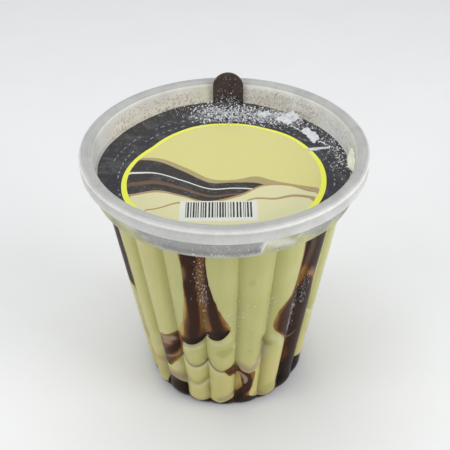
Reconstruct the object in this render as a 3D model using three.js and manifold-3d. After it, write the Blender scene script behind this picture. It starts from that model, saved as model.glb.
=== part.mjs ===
// A single-serve gelato cup: a fluted clear plastic cup with a thick stacking lip, filled with
// pale ice cream and streaks of chocolate syrup, closed by a recessed printed lid with a pull tab.
// Millimetres, +Z up, origin at the centre of the base. Headings are degrees round the axis,
// from the front (-Y) towards the right (+X).
import * as THREE from 'three';
import { mergeVertices } from 'three/addons/utils/BufferGeometryUtils.js';
import Module from 'manifold-3d';

const fullTurn = 2 * Math.PI;
const gap = 0.3; // clearance between pieces that touch in the real thing
const weldDistance = 1e-4; // vertices closer than this are one

const flutes = {
  count: 20,
  firstValley: 6.12, // heading of one valley
  facets: 5, // flat facets across one flute
  topDepth: 1.1, // how far the valleys lie behind the crests, at the shoulder
  footDepth: 1.9, // and just above the foot
  baseShare: 0.25, // how much of that is left at the base, where the foot turns round
};

const cup = {
  wall: 0.8,
  floor: 0.9,
  footRadius: 26.6, // crest radius where the wall meets the rounded foot
  footHeight: 7,
  footInset: 3.2, // how far the rounded foot draws in to the base
  footSteps: [0, 0.08, 0.3, 0.6, 1], // heights of the facets that round the foot, outside
  innerFootSteps: [0, 0.2, 0.5, 1], // and inside, as shares of its height
  bodyTop: 73.9,
  bodyTopRadius: 36.2,
};

const shoulder = {
  bottomRadius: 38.6,
  top: 80.8,
  topRadius: 39.4,
  innerRadius: 37.6,
};

const lip = {
  top: 85.4,
  underRadius: 41.8,
  outerRadius: 42,
  outerRound: 1.3,
  outerSpan: { from: 0, to: 90, steps: 3 }, // degrees of the round, up from level
  landRadius: 39.8, // where the crowned top starts to fall towards the inside
  innerRadius: 38,
  innerRound: 1.7,
  innerSpan: { from: 120, to: 180, steps: 2 },
};

const ledge = { // the inner ledge that carries the lid
  height: 78,
  radius: 36.7,
  foot: 76.9,
  lean: 0.2, // how far out the wall above it starts
};

const filling = {
  rim: 75.05, // lower edge of the ice cream pressed over the inner step
  rimTop: 76.6,
  top: 77.7,
  drawIn: 0.9, // how far the top edge falls short of the wall where air is trapped
  smearReach: 37.3, // radius where it is pressed against the shoulder instead
  smears: [ // stretches of heading where the ice cream touches the shoulder
    { from: -96, to: -46 },
    { from: 13, to: 27 },
    { from: 118, to: 170 },
    { from: 215, to: 236 },
  ],
  smearBlend: 5, // degrees over which a smear begins and ends
};

const lid = {
  radius: 37.2,
  underside: 78.3,
  thickness: 0.45,
  segments: 90,
};

const tab = {
  heading: 177.9,
  width: 9.8,
  top: 89.4,
  innerRadius: 36.8,
  thickness: 0.5,
  cornerSteps: 5,
};

const streak = {
  depth: 3.2, // how deep the syrup goes in behind the wall
  overshoot: 6, // how far the cutting shape passes the wall
  unrolledRadius: 32, // radius at which headings are unrolled to millimetres
  pointsPerKnot: 3,
};

// Each streak of syrup is a smooth closed outline on the unrolled wall, as [heading, height].
const frontRibbon = [
  [-19.4, 80], [-20.1, 64], [-21.2, 52], [-24, 42.4], [-28.6, 34.6], [-21.8, 31.6],
  [-11.9, 35.6], [-4.6, 35], [2.8, 40.6], [-0.4, 45], [-5.8, 54], [-8.4, 63], [-8.6, 80],
];
const rightRibbon = [
  [39.6, 80], [39.6, 67], [38.6, 58], [34, 50.4], [28.4, 45], [26.8, 39], [29.4, 35.6],
  [36.6, 31], [39.4, 18], [41, 2], [59, 2], [58.8, 20], [57.6, 39], [53, 50], [53.4, 57],
  [54.8, 66], [55.4, 80],
];
const leftRibbon = [
  [-81, 80], [-79.4, 62], [-71, 51], [-61.6, 41], [-58.8, 46], [-59.6, 52], [-62, 61], [-65, 80],
];
const lowLeftPatch = [
  [-46.4, 29.4], [-38, 33.4], [-28.4, 35.4], [-26.4, 31.6], [-30.4, 27], [-35, 21.6],
  [-42.6, 15.4], [-46.4, 19.2],
];
const backRightRibbon = [
  [104, 80], [103, 62], [100, 48], [96, 39.4], [103, 34.6], [113, 36], [123, 32.4], [125, 39],
  [120, 49], [117.4, 62], [117, 80],
];
const backLeftRibbon = [
  [204, 80], [203, 60], [200, 44], [199, 28], [204, 20.4], [209, 27], [211.4, 38], [216, 50],
  [217, 64], [217.6, 80],
];
const frontSwirl = [
  [-0.6, 21.4], [6.2, 23], [14, 21.4], [19.6, 17.4], [19.6, 10], [18, 1], [8, 1], [5.8, 8.4],
  [8, 12.4], [4.4, 18.6],
];

const pool = {
  level: 3.2, // lowest height of the syrup along the wall
  middle: 6, // and at the axis
  mounds: [ // where it stands higher at the wall
    { heading: -84, height: 4, spread: 12 },
    { heading: -37, height: 7.4, spread: 8 },
    { heading: 9, height: 3.6, spread: 5 },
    { heading: 60, height: 9.6, spread: 17 },
    { heading: 112, height: 6, spread: 20 },
    { heading: 168, height: 4, spread: 16 },
    { heading: 222, height: 8, spread: 22 },
  ],
};

const { Manifold, Mesh } = await (async () => {
  const wasm = await Module();
  wasm.setup();
  return wasm;
})();

const radians = THREE.MathUtils.degToRad;

// Shortest signed difference between two headings.
function turnBetween(heading, other) {
  return THREE.MathUtils.euclideanModulo(heading - other + 180, 360) - 180;
}

// 0 on the crest of a flute, 1 in the valley beside it.
function valleyShare(heading) {
  const along = (heading - flutes.firstValley) / (360 / flutes.count);
  const offCrest = 2 * THREE.MathUtils.euclideanModulo(along, 1) - 1;
  return offCrest * offCrest;
}

function fluteDepth(height) {
  const share = THREE.MathUtils.clamp(height / cup.bodyTop, 0, 1);
  const depth = THREE.MathUtils.lerp(flutes.footDepth, flutes.topDepth, share);
  const fade = THREE.MathUtils.smoothstep(height, 0, cup.footHeight);
  return depth * THREE.MathUtils.lerp(flutes.baseShare, 1, fade);
}

// Outer crest radius of the fluted body, with its rounded foot.
function crestRadius(height) {
  const share = (height - cup.footHeight) / (cup.bodyTop - cup.footHeight);
  const cone = THREE.MathUtils.lerp(cup.footRadius, cup.bodyTopRadius, Math.max(share, 0));
  const below = THREE.MathUtils.clamp(1 - height / cup.footHeight, 0, 1);
  return cone - cup.footInset * (1 - Math.sqrt(1 - below * below));
}

// 1 where the ice cream is pressed against the shoulder, 0 where air is trapped.
function smearShare(heading) {
  return Math.max(...filling.smears.map(({ from, to }) => {
    const outside = Math.abs(turnBetween(heading, (from + to) / 2)) - (to - from) / 2;
    return 1 - THREE.MathUtils.smoothstep(outside, 0, filling.smearBlend);
  }));
}

// Height of the syrup pool's top where it meets the wall.
function poolLevel(heading) {
  return pool.mounds.reduce((level, mound) => {
    const away = turnBetween(heading, mound.heading) / mound.spread;
    return level + mound.height * Math.exp(-away * away);
  }, pool.level);
}

// Profile stations of the fluted wall from the base up, moved in by an inset from its outside.
function wallStations(inset, bottom, top, footSteps) {
  const foot = footSteps.map((share) => THREE.MathUtils.lerp(bottom, cup.footHeight, share));
  return [...foot, (cup.footHeight + top) / 2, top].map((height) => {
    const onWall = Math.min(Math.max(height - bottom, 0), top);
    return { radius: crestRadius(onWall) - inset, height, flute: fluteDepth(onWall) };
  });
}

// Turns a profile about the axis, then moves each vertex by the flutes and by its own shift.
function turnedSolid(profile) {
  const points = profile.map(({ radius, height }) => new THREE.Vector2(radius, height));
  const segments = flutes.count * flutes.facets;
  const geometry = new THREE.LatheGeometry(points, segments, radians(flutes.firstValley), fullTurn);
  geometry.rotateX(Math.PI / 2);
  const position = geometry.getAttribute('position');
  for (let i = 0; i < position.count; i += 1) {
    const { radius, height, flute = 0, shift } = profile[i % profile.length];
    const heading = flutes.firstValley + (360 * Math.floor(i / profile.length)) / segments;
    const moved = shift ? shift(heading) : { outward: 0, upward: 0 };
    const reach = radius - flute * valleyShare(heading) + moved.outward;
    const turned = radians(heading);
    if (radius > 0) {
      position.setXYZ(i, reach * Math.sin(turned), -reach * Math.cos(turned), height + moved.upward);
    }
  }
  return geometry;
}

// A smooth closed outline on the unrolled wall.
function unrolledOutline(knots) {
  const points = knots.map(([heading, height]) => (
    new THREE.Vector3(radians(heading) * streak.unrolledRadius, height, 0)
  ));
  const curve = new THREE.CatmullRomCurve3(points, true, 'centripetal');
  const outline = curve.getPoints(knots.length * streak.pointsPerKnot).slice(0, -1);
  return new THREE.Shape(outline.map(({ x, y }) => new THREE.Vector2(x, y)));
}

// Bends an extrusion of the unrolled wall round the axis. Its thickness becomes the radius.
function bendRound(geometry, radiusAt) {
  const position = geometry.getAttribute('position');
  for (let i = 0; i < position.count; i += 1) {
    const turned = position.getX(i) / streak.unrolledRadius;
    const height = position.getY(i);
    const radius = radiusAt(height) + position.getZ(i);
    position.setXYZ(i, radius * Math.sin(turned), -radius * Math.cos(turned), height);
  }
  return geometry;
}

// The space of one streak, from inside the ice cream to past the wall. A margin makes it wider.
function streakSpace(knots, margin) {
  const geometry = new THREE.ExtrudeGeometry(unrolledOutline(knots), {
    depth: streak.depth + streak.overshoot,
    bevelEnabled: margin > 0,
    bevelSize: margin,
    bevelThickness: margin,
    bevelSegments: 1,
  });
  return bendRound(geometry, (height) => (
    crestRadius(THREE.MathUtils.clamp(height, 0, cup.bodyTop)) - cup.wall - streak.depth
  ));
}

// The space of the syrup pool in the foot, raised by a margin.
function poolSpace(margin) {
  const under = -streak.overshoot;
  const outside = cup.bodyTopRadius;
  const raised = (heading) => ({ outward: 0, upward: poolLevel(heading) + margin });
  return turnedSolid([
    { radius: 0, height: under },
    { radius: outside, height: under },
    { radius: outside, height: 0, shift: raised },
    { radius: 0, height: pool.middle + margin },
  ]);
}

function solidOf(geometry) {
  geometry.deleteAttribute('normal');
  geometry.deleteAttribute('uv');
  const merged = mergeVertices(geometry, weldDistance);
  return new Manifold(new Mesh({
    numProp: 3,
    vertProperties: new Float32Array(merged.getAttribute('position').array),
    triVerts: new Uint32Array(merged.getIndex().array),
  }));
}

function geometryOf(solid) {
  const { vertProperties, triVerts } = solid.getMesh();
  const geometry = new THREE.BufferGeometry();
  geometry.setAttribute('position', new THREE.BufferAttribute(vertProperties, 3));
  geometry.setIndex(new THREE.BufferAttribute(triVerts, 1));
  geometry.computeVertexNormals();
  return geometry;
}

// Points along a round from one angle to another, for the lip's edges.
function roundStations(centreRadius, centreHeight, round, { from, to, steps }) {
  return Array.from({ length: steps + 1 }, (_, i) => {
    const angle = radians(THREE.MathUtils.lerp(from, to, i / steps));
    return {
      radius: centreRadius + round * Math.cos(angle),
      height: centreHeight + round * Math.sin(angle),
    };
  });
}

// The cup: up its outside, over the lip and down its inside.
function cupGeometry() {
  const outside = wallStations(0, 0, cup.bodyTop, cup.footSteps);
  const inside = wallStations(cup.wall, cup.floor, cup.bodyTop + cup.wall, cup.innerFootSteps);
  return turnedSolid([
    { radius: 0, height: 0 },
    ...outside,
    { radius: shoulder.bottomRadius, height: cup.bodyTop },
    { radius: shoulder.topRadius, height: shoulder.top },
    { radius: lip.underRadius, height: shoulder.top },
    ...roundStations(
      lip.outerRadius - lip.outerRound, lip.top - lip.outerRound, lip.outerRound, lip.outerSpan,
    ),
    { radius: lip.landRadius, height: lip.top },
    ...roundStations(
      lip.innerRadius + lip.innerRound, lip.top - lip.innerRound, lip.innerRound, lip.innerSpan,
    ),
    { radius: shoulder.innerRadius + ledge.lean, height: ledge.height },
    { radius: ledge.radius, height: ledge.height },
    { radius: shoulder.innerRadius, height: ledge.foot },
    { radius: shoulder.innerRadius, height: cup.bodyTop + cup.wall },
    ...inside.reverse(),
    { radius: 0, height: cup.floor },
  ]);
}

// Everything the cup holds, as one solid that stands clear of it.
function fillingGeometry() {
  const bottom = cup.floor + gap;
  const body = wallStations(cup.wall + gap, bottom, cup.bodyTop, cup.innerFootSteps);
  const edge = body[body.length - 1];
  const pressed = (heading) => ({
    outward: THREE.MathUtils.lerp(
      -filling.drawIn, filling.smearReach - edge.radius, smearShare(heading),
    ),
    upward: 0,
  });
  return turnedSolid([
    { radius: 0, height: bottom },
    ...body,
    { ...edge, height: filling.rim - gap / 2 },
    { radius: edge.radius, height: filling.rim, shift: pressed },
    { radius: edge.radius, height: filling.rimTop, shift: pressed },
    { radius: 0, height: filling.top },
  ]);
}

function lidGeometry() {
  const disc = new THREE.CylinderGeometry(lid.radius, lid.radius, lid.thickness, lid.segments);
  disc.rotateX(Math.PI / 2);
  disc.translate(0, 0, lid.underside + lid.thickness / 2);
  const half = tab.width / 2;
  const unrolled = half * streak.unrolledRadius / tab.innerRadius;
  const outline = new THREE.Shape();
  outline.moveTo(-unrolled, lid.underside);
  outline.lineTo(unrolled, lid.underside);
  outline.lineTo(unrolled, tab.top - half);
  outline.absellipse(0, tab.top - half, unrolled, half, 0, Math.PI);
  const strip = new THREE.ExtrudeGeometry(outline, {
    depth: tab.thickness,
    bevelEnabled: false,
    curveSegments: 2 * tab.cornerSteps,
  });
  strip.translate(radians(tab.heading) * streak.unrolledRadius, 0, 0);
  bendRound(strip, () => tab.innerRadius);
  return geometryOf(solidOf(disc).add(solidOf(strip)));
}

const looks = {
  plastic: { color: 0xd8dad6, roughness: 0.32, metalness: 0, transparent: true, opacity: 0.45 },
  iceCream: { color: 0xd6d392, roughness: 0.55, metalness: 0 },
  syrup: { color: 0x2c120a, roughness: 0.25, metalness: 0 },
  print: { color: 0xe6de6c, roughness: 0.4, metalness: 0 },
};

function namedMesh(name, geometry, look) {
  const mesh = new THREE.Mesh(geometry, new THREE.MeshStandardMaterial(look));
  mesh.name = name;
  return mesh;
}

const whole = solidOf(fillingGeometry());
const syrups = { // the outlines that run together in each piece of syrup
  syrup_front: [frontRibbon, lowLeftPatch],
  syrup_left: [leftRibbon],
  syrup_back_right: [backRightRibbon],
  syrup_back_left: [backLeftRibbon],
  syrup_pool: [rightRibbon, frontSwirl],
};

// The space of a piece of syrup, with a margin where it is cut out of the ice cream.
function syrupSpace(name, margin) {
  const runs = syrups[name].map((knots) => solidOf(streakSpace(knots, margin)));
  if (name === 'syrup_pool') {
    runs.push(solidOf(poolSpace(margin)));
  }
  return runs.reduce((joined, run) => joined.add(run));
}

const gelatoCup = new THREE.Group();
gelatoCup.add(namedMesh('cup', cupGeometry(), looks.plastic));
let iceCream = whole;
for (const name of Object.keys(syrups)) {
  iceCream = iceCream.subtract(syrupSpace(name, gap));
  const piece = whole.intersect(syrupSpace(name, 0));
  gelatoCup.add(namedMesh(name, geometryOf(piece), looks.syrup));
}
gelatoCup.add(namedMesh('ice_cream', geometryOf(iceCream), looks.iceCream));
gelatoCup.add(namedMesh('lid', lidGeometry(), looks.print));

export default gelatoCup;
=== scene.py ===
import math

import bmesh
import bpy
import numpy as np
from mathutils import Matrix, Vector, geometry


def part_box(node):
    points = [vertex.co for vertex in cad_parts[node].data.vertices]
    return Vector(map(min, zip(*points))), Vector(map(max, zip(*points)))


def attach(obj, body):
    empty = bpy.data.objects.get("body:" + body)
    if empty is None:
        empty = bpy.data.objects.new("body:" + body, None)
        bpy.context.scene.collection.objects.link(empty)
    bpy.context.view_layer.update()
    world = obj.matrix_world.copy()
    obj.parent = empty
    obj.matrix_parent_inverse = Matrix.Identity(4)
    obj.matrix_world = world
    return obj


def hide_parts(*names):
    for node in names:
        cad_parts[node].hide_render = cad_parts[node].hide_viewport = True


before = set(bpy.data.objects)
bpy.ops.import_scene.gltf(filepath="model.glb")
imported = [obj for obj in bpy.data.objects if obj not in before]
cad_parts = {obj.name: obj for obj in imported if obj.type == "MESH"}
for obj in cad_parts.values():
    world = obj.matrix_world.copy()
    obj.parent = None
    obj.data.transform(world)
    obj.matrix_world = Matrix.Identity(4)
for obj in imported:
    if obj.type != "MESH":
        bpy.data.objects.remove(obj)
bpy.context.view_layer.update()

# A gelato cup: fluted clear cup, pale ice cream with chocolate syrup, recessed printed lid with a tab.
# Shapes are worked out in millimetres and degrees, and turned to metres when a mesh is made.
# A heading is an angle round the axis, from the front (-Y) towards the right (+X).

mm = 0.001
columns = 720  # steps round the axis
print("frame loaded:", ", ".join(sorted(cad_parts)))


def smooth(value, low, high):
    # 0 at low and 1 at high, easing in and out
    share = np.clip((value - low) / (high - low), 0, 1)
    return share * share * (3 - 2 * share)


def lerp(start, end, share):
    return start + (end - start) * share


def tone(red, green, blue):
    # screen values from 0 to 255, as the linear colour that a socket takes
    parts = [c / 255 for c in (red, green, blue)]
    return (*[c / 12.92 if c < 0.04 else ((c + 0.055) / 1.055) ** 2.4 for c in parts], 1.0)


def bell(away, width):
    # 1 at no distance, falling to almost 0 at twice the width
    return np.exp(-((away / width) ** 2))


def turnBetween(heading, other):
    return np.mod(heading - other + 180, 360) - 180


def zone(heading, start, end, soft):
    # 1 between two headings, fading to 0 outside them
    outside = np.abs(turnBetween(heading, (start + end) / 2)) - (end - start) / 2
    return 1 - smooth(outside, 0, soft)


def onWall(heading, height, radius):
    turned = np.radians(heading)
    parts = np.broadcast_arrays(radius * np.sin(turned), -radius * np.cos(turned), height)
    return np.stack(parts, axis=-1)


def softNoise(x, y, seed):
    # smooth wandering values between about -1 and 1, from a few crossed waves
    rng = np.random.default_rng(seed)
    total = np.zeros(np.broadcast(x, y).shape)
    for _ in range(7):
        angle, phase = rng.uniform(0, 2 * math.pi, 2)
        pitch = rng.uniform(0.6, 2.2)
        total = total + np.sin(pitch * (x * math.cos(angle) + y * math.sin(angle)) + phase)
    return total / 4


def smoothLine(knots, steps, closed=False):
    # centripetal Catmull-Rom curve through the knots
    knots = np.asarray(knots, float)
    if closed:
        padded = np.concatenate([knots[-1:], knots, knots[:2]])
    else:
        padded = np.concatenate([2 * knots[:1] - knots[1:2], knots, 2 * knots[-1:] - knots[-2:-1]])
    line = []
    for a, b, c, d in zip(padded, padded[1:], padded[2:], padded[3:]):
        ab, bc, cd = (max(np.linalg.norm(q - p), 1e-6) ** 0.5 for p, q in ((a, b), (b, c), (c, d)))
        leave = ((b - a) / ab - (c - a) / (ab + bc) + (c - b) / bc) * bc
        reach = ((c - b) / bc - (d - b) / (bc + cd) + (d - c) / cd) * bc
        for step in range(steps):
            t = step / steps
            line.append(
                b + leave * t + (3 * (c - b) - 2 * leave - reach) * t**2
                + (2 * (b - c) + leave + reach) * t**3
            )
    if not closed:
        line.append(knots[-1])
    return np.array(line)


def makeObject(name, points, faces):
    mesh = bpy.data.meshes.new(name)
    mesh.from_pydata([tuple(p) for p in np.asarray(points) * mm], [], faces)
    mesh.validate()
    piece = bpy.data.objects.new(name, mesh)
    bpy.context.scene.collection.objects.link(piece)
    return piece


def meshPoints(piece):
    # the vertices in millimetres
    points = np.empty(len(piece.data.vertices) * 3, np.float32)
    piece.data.vertices.foreach_get("co", points)
    return points.reshape(-1, 3).astype(float) / mm


def wallPlace(points):
    # heading, height and radius of points
    heading = np.degrees(np.arctan2(points[:, 0], -points[:, 1]))
    return heading, points[:, 2], np.hypot(points[:, 0], points[:, 1])


def paint(piece, **layers):
    for name, values in layers.items():
        layer = piece.data.attributes.new(name, "FLOAT", "POINT")
        layer.data.foreach_set("value", np.clip(values, 0, 1).astype(np.float32))


def shadeSmooth(piece, sharpAngle=40):
    for face in piece.data.polygons:
        face.use_smooth = True
    piece.data.set_sharp_from_angle(angle=math.radians(sharpAngle))


def dress(piece, material, slot, *nodes):
    piece.data.materials.clear()
    piece.data.materials.append(material)
    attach(piece, "root")
    if nodes:
        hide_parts(*nodes)


def turnedMesh(name, stations):
    # turns stations (radius, height) about the axis; both may change with the heading
    points, rings, faces = [], [], []
    for radius, height in stations:
        first = sum(len(p) for p in points)
        if np.all(radius == 0):
            points.append(np.array([[0, 0, float(np.mean(height))]]))
            rings.append(np.full(columns, first))
        else:
            points.append(onWall(allRound, height, radius))
            rings.append(first + np.arange(columns))
    for low, high in zip(rings, rings[1:]):
        lowNext, highNext = np.roll(low, -1), np.roll(high, -1)
        if low[0] == low[1]:
            faces += np.stack([low, highNext, high], 1).tolist()
        elif high[0] == high[1]:
            faces += np.stack([low, lowNext, high], 1).tolist()
        else:
            faces += np.stack([low, lowNext, highNext, high], 1).tolist()
    return makeObject(name, np.concatenate(points), faces)


def insideOf(outline, points):
    # which points lie inside a closed outline
    x, y = points[:, 0], points[:, 1]
    inside = np.zeros(len(points), bool)
    for (x0, y0), (x1, y1) in zip(outline, np.roll(outline, -1, axis=0)):
        crosses = (y0 > y) != (y1 > y)
        inside ^= crosses & (x < (x1 - x0) * (y - y0) / (y1 - y0 + 1e-12) + x0)
    return inside


def triangulate(outline, spacing, others=()):
    # fills a closed flat outline with triangles; other outlines inside it become edges too
    loops = [np.asarray(outline), *[np.asarray(o) for o in others]]
    low, high = loops[0].min(0), loops[0].max(0)
    across, along = (np.arange(a + spacing / 2, b, spacing) for a, b in zip(low, high))
    grid = np.stack(np.meshgrid(across, along), -1).reshape(-1, 2)
    grid = grid + np.random.default_rng(5).uniform(-0.15, 0.15, grid.shape) * spacing
    grid = grid[insideOf(loops[0], grid)]
    edges, start = [], 0
    for loop in loops:
        gaps = np.linalg.norm(grid[:, None] - loop[None], axis=2).min(1) if len(grid) else []
        grid = grid[np.asarray(gaps) > spacing * 0.35] if len(grid) else grid
        edges += [(start + i, start + (i + 1) % len(loop)) for i in range(len(loop))]
        start += len(loop)
    flat = [Vector(p) for p in np.concatenate([*loops, grid])]
    points, _, triangles, *_ = geometry.delaunay_2d_cdt(flat, edges, [], 0, 1e-5)
    points = np.array([tuple(p) for p in points])
    triangles = np.array([t for t in triangles if len(t) == 3])
    middles = points[triangles].mean(1)
    return points, triangles[insideOf(loops[0], middles)]


def slab(name, triangles, lower, upper):
    # closes two layers of the same triangles into one solid, the upper one facing out
    count = len(lower)
    edges = {}
    for a, b, c in triangles:
        for edge in ((a, b), (b, c), (c, a)):
            edges[edge] = True
    faces = [(a + count, b + count, c + count) for a, b, c in triangles.tolist()]
    faces += [(c, b, a) for a, b, c in triangles.tolist()]
    faces += [(b + count, a + count, a, b) for a, b in edges if (b, a) not in edges]
    piece = makeObject(name, np.concatenate([lower, upper]), faces)
    body = bmesh.new()
    body.from_mesh(piece.data)
    bmesh.ops.delete(body, geom=[v for v in body.verts if not v.link_faces], context="VERTS")
    bmesh.ops.recalc_face_normals(body, faces=body.faces)
    body.to_mesh(piece.data)
    body.free()
    return piece


def cutWith(piece, tool, operation):
    # a boolean that is applied at once, and uses its tool up
    change = piece.modifiers.new("cut", "BOOLEAN")
    change.object = tool
    change.operation = operation
    change.solver = "MANIFOLD"
    shown = piece.evaluated_get(bpy.context.evaluated_depsgraph_get())
    mesh = bpy.data.meshes.new_from_object(shown)
    piece.modifiers.clear()
    piece.data = mesh
    bpy.data.objects.remove(tool)


def copyOf(piece, name):
    twin = bpy.data.objects.new(name, piece.data.copy())
    bpy.context.scene.collection.objects.link(twin)
    return twin


def addNode(tree, kind, inputs=None, **settings):
    node = tree.nodes.new("ShaderNode" + kind)
    for key, value in settings.items():
        setattr(node, key, value)
    for key, value in (inputs or {}).items():
        if isinstance(value, bpy.types.NodeSocket):
            tree.links.new(value, node.inputs[key])
        else:
            node.inputs[key].default_value = value
    return node


def newMaterial(name, constants):
    material = bpy.data.materials.new(name)
    material.use_nodes = True
    tree = material.node_tree
    shader = tree.nodes["Principled BSDF"]
    for key, value in constants.items():
        shader.inputs[key].default_value = value
    return material, tree, shader


def layer(tree, name):
    return addNode(tree, "Attribute", attribute_name=name).outputs["Fac"]


def grain(tree, scale, detail=2.0, roughness=0.5, stretch=(1, 1, 1)):
    # noise in the piece's own coordinates; the scale is in features per metre
    place = addNode(tree, "TexCoord").outputs["Object"]
    if stretch != (1, 1, 1):
        place = addNode(tree, "Mapping", {"Vector": place, "Scale": stretch}).outputs["Vector"]
    settings = {"Vector": place, "Scale": scale, "Detail": detail, "Roughness": roughness}
    return addNode(tree, "TexNoise", settings).outputs["Fac"]


def turnedGrain(tree, around, across):
    # noise drawn out round the axis; features per turn radius, and per metre up and out
    place = addNode(tree, "TexCoord").outputs["Object"]
    flat = addNode(tree, "VectorMath", {0: place, 1: (1, 1, 0)}, operation="MULTIPLY").outputs[0]
    unit = addNode(tree, "VectorMath", {0: flat}, operation="NORMALIZE").outputs[0]
    out = addNode(tree, "VectorMath", {0: flat}, operation="LENGTH").outputs["Value"]
    up = addNode(tree, "SeparateXYZ", {0: place}).outputs[2]
    rise = reckon(tree, "MULTIPLY", reckon(tree, "ADD", out, up, False), across, False)
    rise = addNode(tree, "CombineXYZ", {2: rise}).outputs[0]
    turned = {0: unit, 1: (around, around, around), 2: rise}
    place = addNode(tree, "VectorMath", turned, operation="MULTIPLY_ADD").outputs[0]
    return addNode(tree, "TexNoise", {"Vector": place, "Scale": 1.0, "Detail": 3.0}).outputs["Fac"]


def spread(tree, value, low, high, toLow=0.0, toHigh=1.0):
    limits = {"Value": value, "From Min": low, "From Max": high, "To Min": toLow, "To Max": toHigh}
    return addNode(tree, "MapRange", limits).outputs["Result"]


def reckon(tree, operation, a, b, clamp=True):
    inputs = {0: a, 1: b}
    return addNode(tree, "Math", inputs, operation=operation, use_clamp=clamp).outputs["Value"]


def mixTones(tree, share, a, b):
    inputs = {"Factor": share, 6: a, 7: b}
    return addNode(tree, "Mix", inputs, data_type="RGBA").outputs[2]


def toneRamp(tree, value, stops):
    ramp = addNode(tree, "ValToRGB", {"Fac": value})
    points = ramp.color_ramp.elements
    while len(points) < len(stops):
        points.new(0.5)
    for point, (place, colour) in zip(points, stops):
        point.position = place
        point.color = colour
    return ramp.outputs["Color"]


def finishLook(tree, shader, colour, relief=None, strength=0.0, distance=0.0):
    # joins the colour and any fine relief to the shader
    tree.links.new(colour, shader.inputs["Base Color"])
    if relief is not None:
        inputs = {"Height": relief, "Strength": strength, "Distance": distance}
        tree.links.new(addNode(tree, "Bump", inputs).outputs["Normal"], shader.inputs["Normal"])


# the camera stands in front of the cup and looks down on it
stage = {
    "aimHeight": 0.05571,
    "distance": 0.260,
    "pitch": 37.16,
    "roll": -0.42,
    "lens": 66.96,
    "sensor": 36,
    "floor": (tone(244, 244, 243), tone(240, 240, 239)),
    "floorHalf": 1400,
    "world": (0.93, 0.96, 1.0, 1),
    "worldStrength": 0.55,
    "lampAim": 0.04,
    "lamps": [  # name, place, size and power of each softbox
        ("overhead", (-0.05, 0.10, 0.60), 0.42, 1.0),
        ("left", (-0.56, -0.28, 0.26), 0.36, 1.5),
        ("right", (0.56, -0.26, 0.24), 0.36, 2.3),
    ],
}


def setStage():
    scene = bpy.context.scene
    scene.view_settings.view_transform = "Standard"
    camera = bpy.data.objects.new("camera", bpy.data.cameras.new("camera"))
    camera.data.lens = stage["lens"]
    camera.data.sensor_width = stage["sensor"]
    camera.data.clip_start = 0.01
    pitch, roll = math.radians(stage["pitch"]), math.radians(stage["roll"])
    forward = Vector((0, math.cos(pitch), -math.sin(pitch)))
    right = Vector((1, 0, 0))
    up = right.cross(forward)
    across = right * math.cos(roll) + up * math.sin(roll)
    above = up * math.cos(roll) - right * math.sin(roll)
    place = Vector((0, 0, stage["aimHeight"])) - forward * stage["distance"]
    turned = Matrix((across, above, -forward)).transposed().to_4x4()
    camera.matrix_world = Matrix.Translation(place) @ turned
    scene.collection.objects.link(camera)
    scene.camera = camera

    world = bpy.data.worlds.new("studio")
    scene.world = world
    world.use_nodes = True
    background = world.node_tree.nodes["Background"]
    background.inputs["Color"].default_value = stage["world"]
    background.inputs["Strength"].default_value = stage["worldStrength"]

    for name, spot, size, power in stage["lamps"]:
        lamp = bpy.data.lights.new(name, "AREA")
        lamp.size = size
        lamp.energy = power
        holder = bpy.data.objects.new(name, lamp)
        holder.location = spot
        aim = Vector((0, 0, stage["lampAim"])) - Vector(spot)
        holder.rotation_euler = aim.to_track_quat("-Z", "Y").to_euler()
        scene.collection.objects.link(holder)

    corners = [(x, y, 0) for x, y in ((-1, -1), (1, -1), (1, 1), (-1, 1))]
    floor = makeObject("floor", np.array(corners) * stage["floorHalf"], [(0, 1, 2, 3)])
    material, tree, shader = newMaterial("paleFloor", {"Roughness": 0.9, "Specular IOR Level": 0.1})
    paper = mixTones(tree, grain(tree, 30), *stage["floor"])
    finishLook(tree, shader, paper)
    floor.data.materials.append(material)


setStage()
print("camera, lamps and floor set")


# the flutes nearly fade out in the rounded foot
flutes = {"count": 20, "firstValley": 6.12, "topDepth": 1.1, "footDepth": 1.9, "baseShare": 0.25,
          "fineTo": 42}  # rows stand closer together below this height
allRound = flutes["firstValley"] + np.arange(columns) * 360 / columns  # headings of the columns
cup = {
    "wall": 0.8,
    "floor": 0.9,
    "footRadius": 26.6,
    "footHeight": 7,
    "footInset": 3.2,
    "bodyTop": 73.9,
    "bodyTopRadius": 36.2,
    "shoulderLow": 38.6,  # radius at the foot of the shoulder
    "shoulderTop": 80.8,
    "shoulderHigh": 39.4,
    "shoulderInner": 37.6,
    "lipInner": 38,
    "lipLand": 39.8,
    "lipUnder": 41.8,
    "outerRound": 1.3,
    "innerRound": 1.7,
    "ledgeTop": 81.5,
    "ledge": 78,
    "ledgeRadius": 36.7,
    "ledgeFoot": 76.9,
}
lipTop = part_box("cup")[1].z / mm
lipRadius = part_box("cup")[1].x / mm
lidLow, lidTabTop = (corner.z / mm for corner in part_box("lid"))


def offCrest(heading):
    # 0 on the crest of a flute, -1 and 1 in the valleys beside it
    return 2 * np.mod((heading - flutes["firstValley"]) / (360 / flutes["count"]), 1) - 1


def valleyShare(heading):
    return offCrest(heading) * offCrest(heading)


def fluteDepth(height):
    depth = lerp(flutes["footDepth"], flutes["topDepth"], np.clip(height / cup["bodyTop"], 0, 1))
    return depth * lerp(flutes["baseShare"], 1, smooth(height, 0, cup["footHeight"]))


def crestRadius(height):
    share = (height - cup["footHeight"]) / (cup["bodyTop"] - cup["footHeight"])
    cone = lerp(cup["footRadius"], cup["bodyTopRadius"], np.maximum(share, 0))
    below = np.clip(1 - height / cup["footHeight"], 0, 1)
    return cone - cup["footInset"] * (1 - np.sqrt(1 - below * below))


def wallRadius(heading, height, inset=0.0):
    return crestRadius(height) - inset - fluteDepth(height) * valleyShare(heading)


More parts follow.
